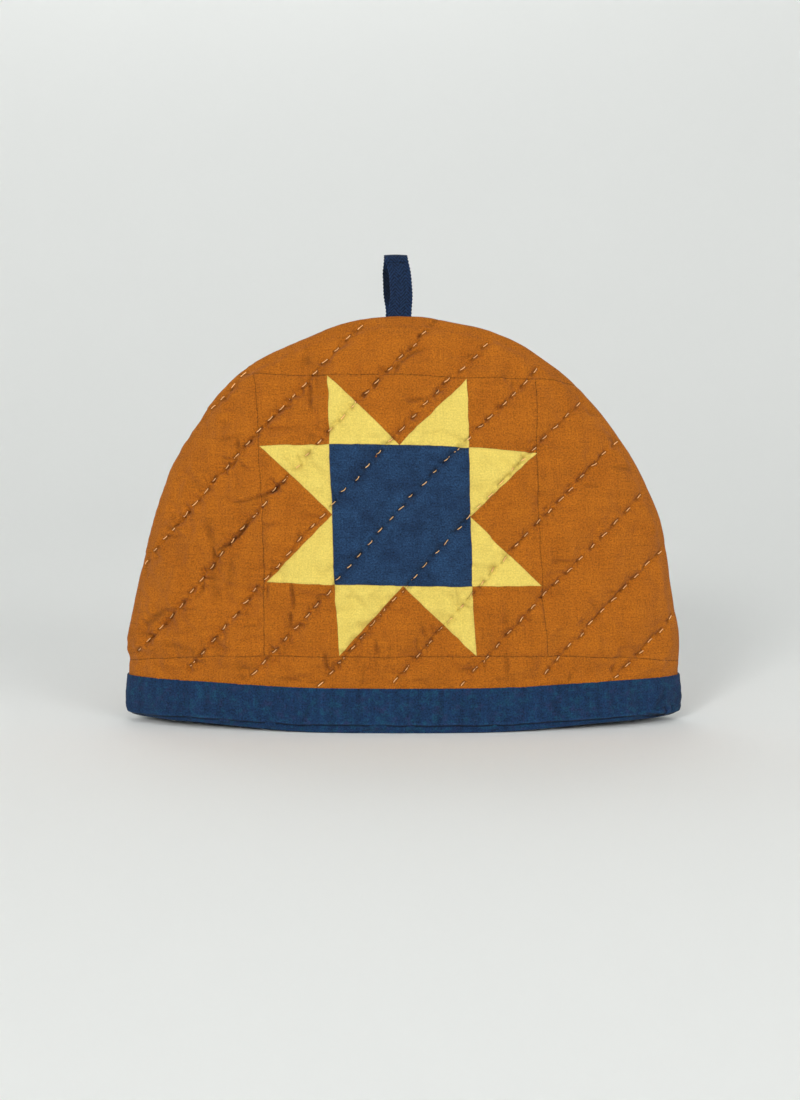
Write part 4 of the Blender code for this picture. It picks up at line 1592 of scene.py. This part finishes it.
def woven(shop, place):
    # tone and height of slubby plain cloth at a place given in metres
    x, y, _ = shop.parts(place)
    lift, shade = None, None
    for first, second, seed in ((x, y, 1.7), (y, x, 5.3)):
        stretched = shop.vector(first / weave["slubLength"], second / weave["slubWidth"], seed)
        slub = shop.noise(stretched, 1.0, 2.0, 0.6)
        stretched = shop.vector(first / weave["lineLength"], second / weave["lineWidth"], seed + 3)
        lines = shop.noise(stretched, 1.0, 2.0, 0.6)
        rib = wave((second + lines * weave["wander"]) * (math.tau / weave["yarn"])) * 0.5 + 0.5
        part = rib * 0.45 + ease(0.56, 0.80, slub) * 0.8
        tone = (slub - 0.5) * 0.34 + (lines - 0.5) * 0.22
        lift = part if lift is None else most(lift, part)
        shade = tone if shade is None else shade + tone
    return shade, lift


def plugLook(shop, shader, colour, light, height, distance):
    # the colour, made lighter or darker, and the fine relief
    bump = shop.out("ShaderNodeBump", None, {"Height": height, "Distance": distance})
    shop.plug(shader.inputs["Base Color"], shop.tint(colour, light))
    shop.plug(shader.inputs["Normal"], bump)


def uvPlace(shop, name):
    return shop.out("ShaderNodeUVMap", {"uv_map": name})


dye = {
    "rust": (0.3350, 0.0990, 0.0052, 1),
    "rustDark": (0.2600, 0.0720, 0.0036, 1),
    "yellow": (0.612, 0.477, 0.106, 1),
    "yellowDark": (0.500, 0.350, 0.056, 1),
    "navy": (0.0125, 0.0390, 0.0940, 1),
    "navyDark": (0.0065, 0.0195, 0.0520, 1),
    "thread": (0.980, 0.610, 0.270, 1),
    "threadDark": (0.860, 0.440, 0.160, 1),
    "bandBlue": (0.0056, 0.0240, 0.0690, 1),
    "bandTeal": (0.0054, 0.0330, 0.0690, 1),
    "bandPlum": (0.0115, 0.0230, 0.0670, 1),
    "tape": (0.0088, 0.0275, 0.0760, 1),
    "tapeDark": (0.0018, 0.0065, 0.0210, 1),
}
clothFinish = {"Roughness": 0.88, "Specular IOR Level": 0.12, "Sheen Weight": 0.04, "Sheen Roughness": 0.6}


def attribute(shop, name):
    return Flow(shop, shop.out("ShaderNodeAttribute", {"attribute_name": name}, None, "Fac"))


def lightAfterPaintedShade(shop):
    # how much of its colour each place keeps under the painted shade
    return 1 - attribute(shop, "paintedShading")


def patchworkMaterial(pieced):
    name = "pieced cotton" if pieced else "back cotton"
    material, shop, shader = newMaterial(name, clothFinish)
    flat = shop.parts(uvPlace(shop, "patch"))
    place = uvPlace(shop, "weave")
    x, z = flat[0], flat[1]
    wander = shop.noise(place, 90.0, 2.0)
    wanderToo = shop.noise(shop.vector(x, z, 0.37), 75.0, 2.0)
    drift = 0.00035
    x = x + (wander - 0.5) * drift
    z = z + (wanderToo - 0.5) * drift
    tone, lift = woven(shop, place)
    mottle = shop.noise(place, 62.0, 4.0, 0.68)
    fleck = shop.noise(place, 1000.0, 2.0, 0.8)
    depth = ease(0.30, 0.74, mottle)
    rust = shop.blend(depth * 0.60, dye["rust"], dye["rustDark"])
    # the painted shade darkens the cloth's colour
    paintedShading = lightAfterPaintedShade(shop)
    if not pieced:
        light = (tone * 0.9 + (fleck - 0.5) * 2.2 + 1.0) * paintedShading
        plugLook(shop, shader, rust, light, lift, weave["lift"])
        return material
    found = patches(x, z)
    cell = found["across"].join("FLOOR") * 7.13 + found["along"].join("FLOOR") * 3.71
    cell = cell + found["points"].join("ROUND") * 1.9 + found["centre"].join("ROUND") * 5.1
    cell = cell + below(-found["top"], 0.0, 0.0001) * 11.7 + below(found["bottom"], 0.0, 0.0001) * 17.3
    cell = cell + below(-found["side"], 0.0, 0.0001) * 23.9
    chance = Flow(shop, shop.out("ShaderNodeTexWhiteNoise", {"noise_dimensions": "1D"}, {"W": cell}, "Value"))
    yellow = shop.blend(depth * 0.22, dye["yellow"], dye["yellowDark"])
    colour = shop.blend(found["points"], rust, yellow)
    navy = shop.blend(depth * 0.90, dye["navy"], dye["navyDark"])
    colour = shop.blend(found["centre"], colour, navy)
    grain = found["centre"] * 1.1 - found["points"] * 1.3 + 2.2
    light = tone * (0.95 - found["points"] * 0.5) + (fleck - 0.5) * grain + 1.0
    light = light + (chance - 0.5) * 0.035
    holes = ease(0.42, 0.60, shop.noise(place, 760.0, 1.0))
    line = below(found["stripSeams"], 0.00026, 0.00034)
    faint = below(found["blockSeams"], 0.00016, 0.00030)
    # the yellow points get less of the painted shade
    paintedShading = paintedShading + found["points"] * 0.55 * (1 - paintedShading)
    light = light * (1 - line * (holes * 0.30 + 0.36)) * (1 - faint * 0.30) * paintedShading
    plugLook(shop, shader, colour, light, lift - line * 1.2, weave["lift"])
    return material


def bandMaterial():
    material, shop, shader = newMaterial("band cotton", clothFinish)
    place = uvPlace(shop, "weave")
    tone, lift = woven(shop, place)
    x, y, _ = shop.parts(place)
    blotch = shop.noise(shop.vector(x, y, 0.11), 260.0, 3.0, 0.65)
    other = shop.noise(shop.vector(x, y, 0.83), 210.0, 3.0, 0.65)
    streak = shop.noise(shop.vector(x / 0.0045, y / 0.05, 2.2), 1.0, 2.0, 0.5)
    fleck = shop.noise(place, 950.0, 2.0, 0.7)
    colour = shop.blend(ease(0.46, 0.66, blotch), dye["bandBlue"], dye["bandTeal"])
    colour = shop.blend(ease(0.52, 0.70, other), colour, dye["bandPlum"])
    light = tone * 1.1 + (fleck - 0.5) * 2.6 + (streak - 0.5) * 0.8 + (blotch - 0.5) * 0.9 + 1.0
    # the painted shade and highlight change the band's colour
    plugLook(shop, shader, colour, light * lightAfterPaintedShade(shop), lift, weave["lift"] * 1.1)
    return material


def tapeMaterial():
    material, shop, shader = newMaterial("herringbone tape", {**clothFinish, "Roughness": 0.78})
    place = uvPlace(shop, "weave")
    x, y, _ = shop.parts(place)
    stripe = tape["stripe"]
    fold = absolute((x / stripe + 20).join("MODULO", 2.0) - 1)
    rib = wave((y + fold * stripe * 1.1) * (math.tau / tape["rib"])) * 0.5 + 0.5
    yarn = wave(x * (math.tau / tape["yarn"])) * 0.5 + 0.5
    fleck = shop.noise(place, 620.0, 2.0, 0.7)
    edge = ease(0.0060, 0.0068, absolute(x))
    colour = shop.blend(clip01(rib * 0.8 + fleck * 3.0 - 1.4), dye["tapeDark"], dye["tape"])
    # the painted shade darkens the tape's colour
    light = (yarn * 0.25 + edge * 0.5 + 0.85) * lightAfterPaintedShade(shop)
    plugLook(shop, shader, colour, light, rib + yarn * 0.35 + fleck * 0.3, tape["relief"])
    return material


def threadMaterial():
    material, shop, shader = newMaterial("quilting thread", {
        "Roughness": 0.62, "Specular IOR Level": 0.35, "Sheen Weight": 0.15, "Sheen Roughness": 0.5,
    })
    twist = wave((attribute(shop, "lengthwise") * 4.5 + attribute(shop, "around")) * math.tau) * 0.5 + 0.5
    colour = shop.blend(twist * 0.55 + 0.25, dye["threadDark"], dye["thread"])
    plugLook(shop, shader, colour, attribute(shop, "shade") * 0.16 + 0.90, twist, 0.00012)
    return material


def styleOf(name, seed, stitches, creases, pieced):
    return {
        "name": name, "seed": seed, "stitches": stitches, "creases": creases,
        "puckers": puckers(seed, stitches), "pieced": pieced,
    }


styles = {
    "front": styleOf("front", 3, stitchRun(11), frontCreases, True),
    "back": styleOf("back", 8, stitchRun(29), backCreases(5), False),
}
pieced, plainBack = patchworkMaterial(True), patchworkMaterial(False)
bandCloth, tapeCloth, quiltThread = bandMaterial(), tapeMaterial(), threadMaterial()
print("materials made")

frontPanel = buildPanel("frontPanel", -1, styles["front"], pieced, plainBack)
backPanel = buildPanel("backPanel", 1, styles["back"], plainBack, plainBack)
hemBand, bandAround, bandWide = buildBand("hemBand", bandCloth)
hangingLoop, tapeLong = buildLoop("hangingLoop", tapeCloth)
tree = stitchTree()
frontStitches = buildStitches("frontStitches", -1, frontPanel, styles["front"], tree, quiltThread)
backStitches = buildStitches("backStitches", 1, backPanel, styles["back"], tree, quiltThread)

# the stage: a very wide, shallow bowl, level under the cosy
stage = {
    "floor": 1.2,
    "bends": ((6.0, 0, 22), (1.5, 22, 90)),     # radius of each bend and its first and last slope
    "slope": 3.0,
    "wall": 4.0,
    "around": 96,
    "colour": (0.842, 0.855, 0.842, 1),
    "fill": 0.34,
    "lamps": (
        ("keyLamp", (-2.2, -5.8, 2.3), (0, 0, 0.1), 1.6, 238, (1.0, 0.995, 0.985)),
        ("fillLamp", (3.2, -4.4, 1.2), (0, 0, 0.1), 3.0, 190, (1.0, 1.0, 1.0)),
        ("floorLamp", (0.1, -1.0, 1.7), (0, -0.35, 0), 0.8, 2.4, (1.0, 1.0, 1.0)),
        ("backdropLamp", (-1.0, 5.5, 5.5), (-0.8, 5.5, 0.5), 5.0, 103, (1.0, 1.0, 1.0)),
    ),
}


def buildStage():
    profile = [(0.0, 0.0), (stage["floor"] / 2, 0.0), (stage["floor"], 0.0)]
    for radius, first, last in stage["bends"]:
        startX, startZ = profile[-1]
        first, last = math.radians(first), math.radians(last)
        for turn in np.linspace(first, last, 21)[1:]:
            x = startX + radius * (math.sin(turn) - math.sin(first))
            profile.append((x, startZ + radius * (math.cos(first) - math.cos(turn))))
        length = stage["slope"] if last < 1 else stage["wall"]
        x, z = profile[-1]
        profile.append((x + length * math.cos(last), z + length * math.sin(last)))
    work = bmesh.new()
    chain = [work.verts.new((radius, 0, height)) for radius, height in profile]
    edges = [work.edges.new(pair) for pair in zip(chain, chain[1:])]
    bmesh.ops.spin(work, geom=chain + edges, axis=(0, 0, 1), cent=(0, 0, 0), steps=stage["around"],
                   angle=math.tau, use_merge=True)
    bmesh.ops.remove_doubles(work, verts=work.verts[:], dist=0.0001)
    bmesh.ops.recalc_face_normals(work, faces=work.faces[:])
    mesh = bpy.data.meshes.new("studioSweep")
    work.to_mesh(mesh)
    work.free()
    mesh.shade_smooth()
    sweep = newObject("studioSweep", mesh)
    paper = {"Base Color": stage["colour"], "Roughness": 1.0, "Specular IOR Level": 0.0}
    mesh.materials.append(newMaterial("studio paper", paper)[0])


def addLight(name, place, target, wide, power, colour):
    data = bpy.data.lights.new(name, "AREA")
    data.shape = "DISK"
    data.size = wide
    data.energy = power
    data.color = colour
    lamp = newObject(name, data)
    lamp.location = place
    lamp.rotation_euler = (Vector(target) - Vector(place)).to_track_quat("-Z", "Y").to_euler()


view = {
    "target": (-0.0021, 0.0, 0.1053),
    "distance": 1.3,
    "rise": math.radians(6.2),
    "tall": 0.67375,            # height of the picture at the cosy, metres
}


def addCamera():
    data = bpy.data.cameras.new("camera")
    data.sensor_fit = "VERTICAL"
    data.angle = 2 * math.atan(view["tall"] / 2 / view["distance"])
    data.clip_start = 0.05
    camera = newObject("camera", data)
    back = Vector((0, -math.cos(view["rise"]), math.sin(view["rise"]))) * view["distance"]
    camera.location = Vector(view["target"]) + back
    camera.rotation_euler = (-back).to_track_quat("-Z", "Y").to_euler()
    bpy.context.scene.camera = camera


buildStage()
for lamp in stage["lamps"]:
    addLight(*lamp)
world = bpy.data.worlds.new("soft fill")
bpy.context.scene.world = world
world.use_nodes = True
world.node_tree.nodes["Background"].inputs["Color"].default_value = (0.985, 0.995, 1.0, 1)
world.node_tree.nodes["Background"].inputs["Strength"].default_value = stage["fill"]
addCamera()
bpy.context.scene.view_settings.view_transform = "Standard"
print("stage, light and camera set")

for piece, node, slot in (
    (frontPanel, "front_panel", "front_quilting"),
    (backPanel, "back_panel", "back_quilting"),
    (hemBand, "hem_band", "band_cotton"),
    (hangingLoop, "hanging_loop", "loop_tape"),
):
    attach(piece, "root")
    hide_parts(node)
for piece, slot in ((frontStitches, "front_quilting"), (backStitches, "back_quilting")):
    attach(piece, "root")
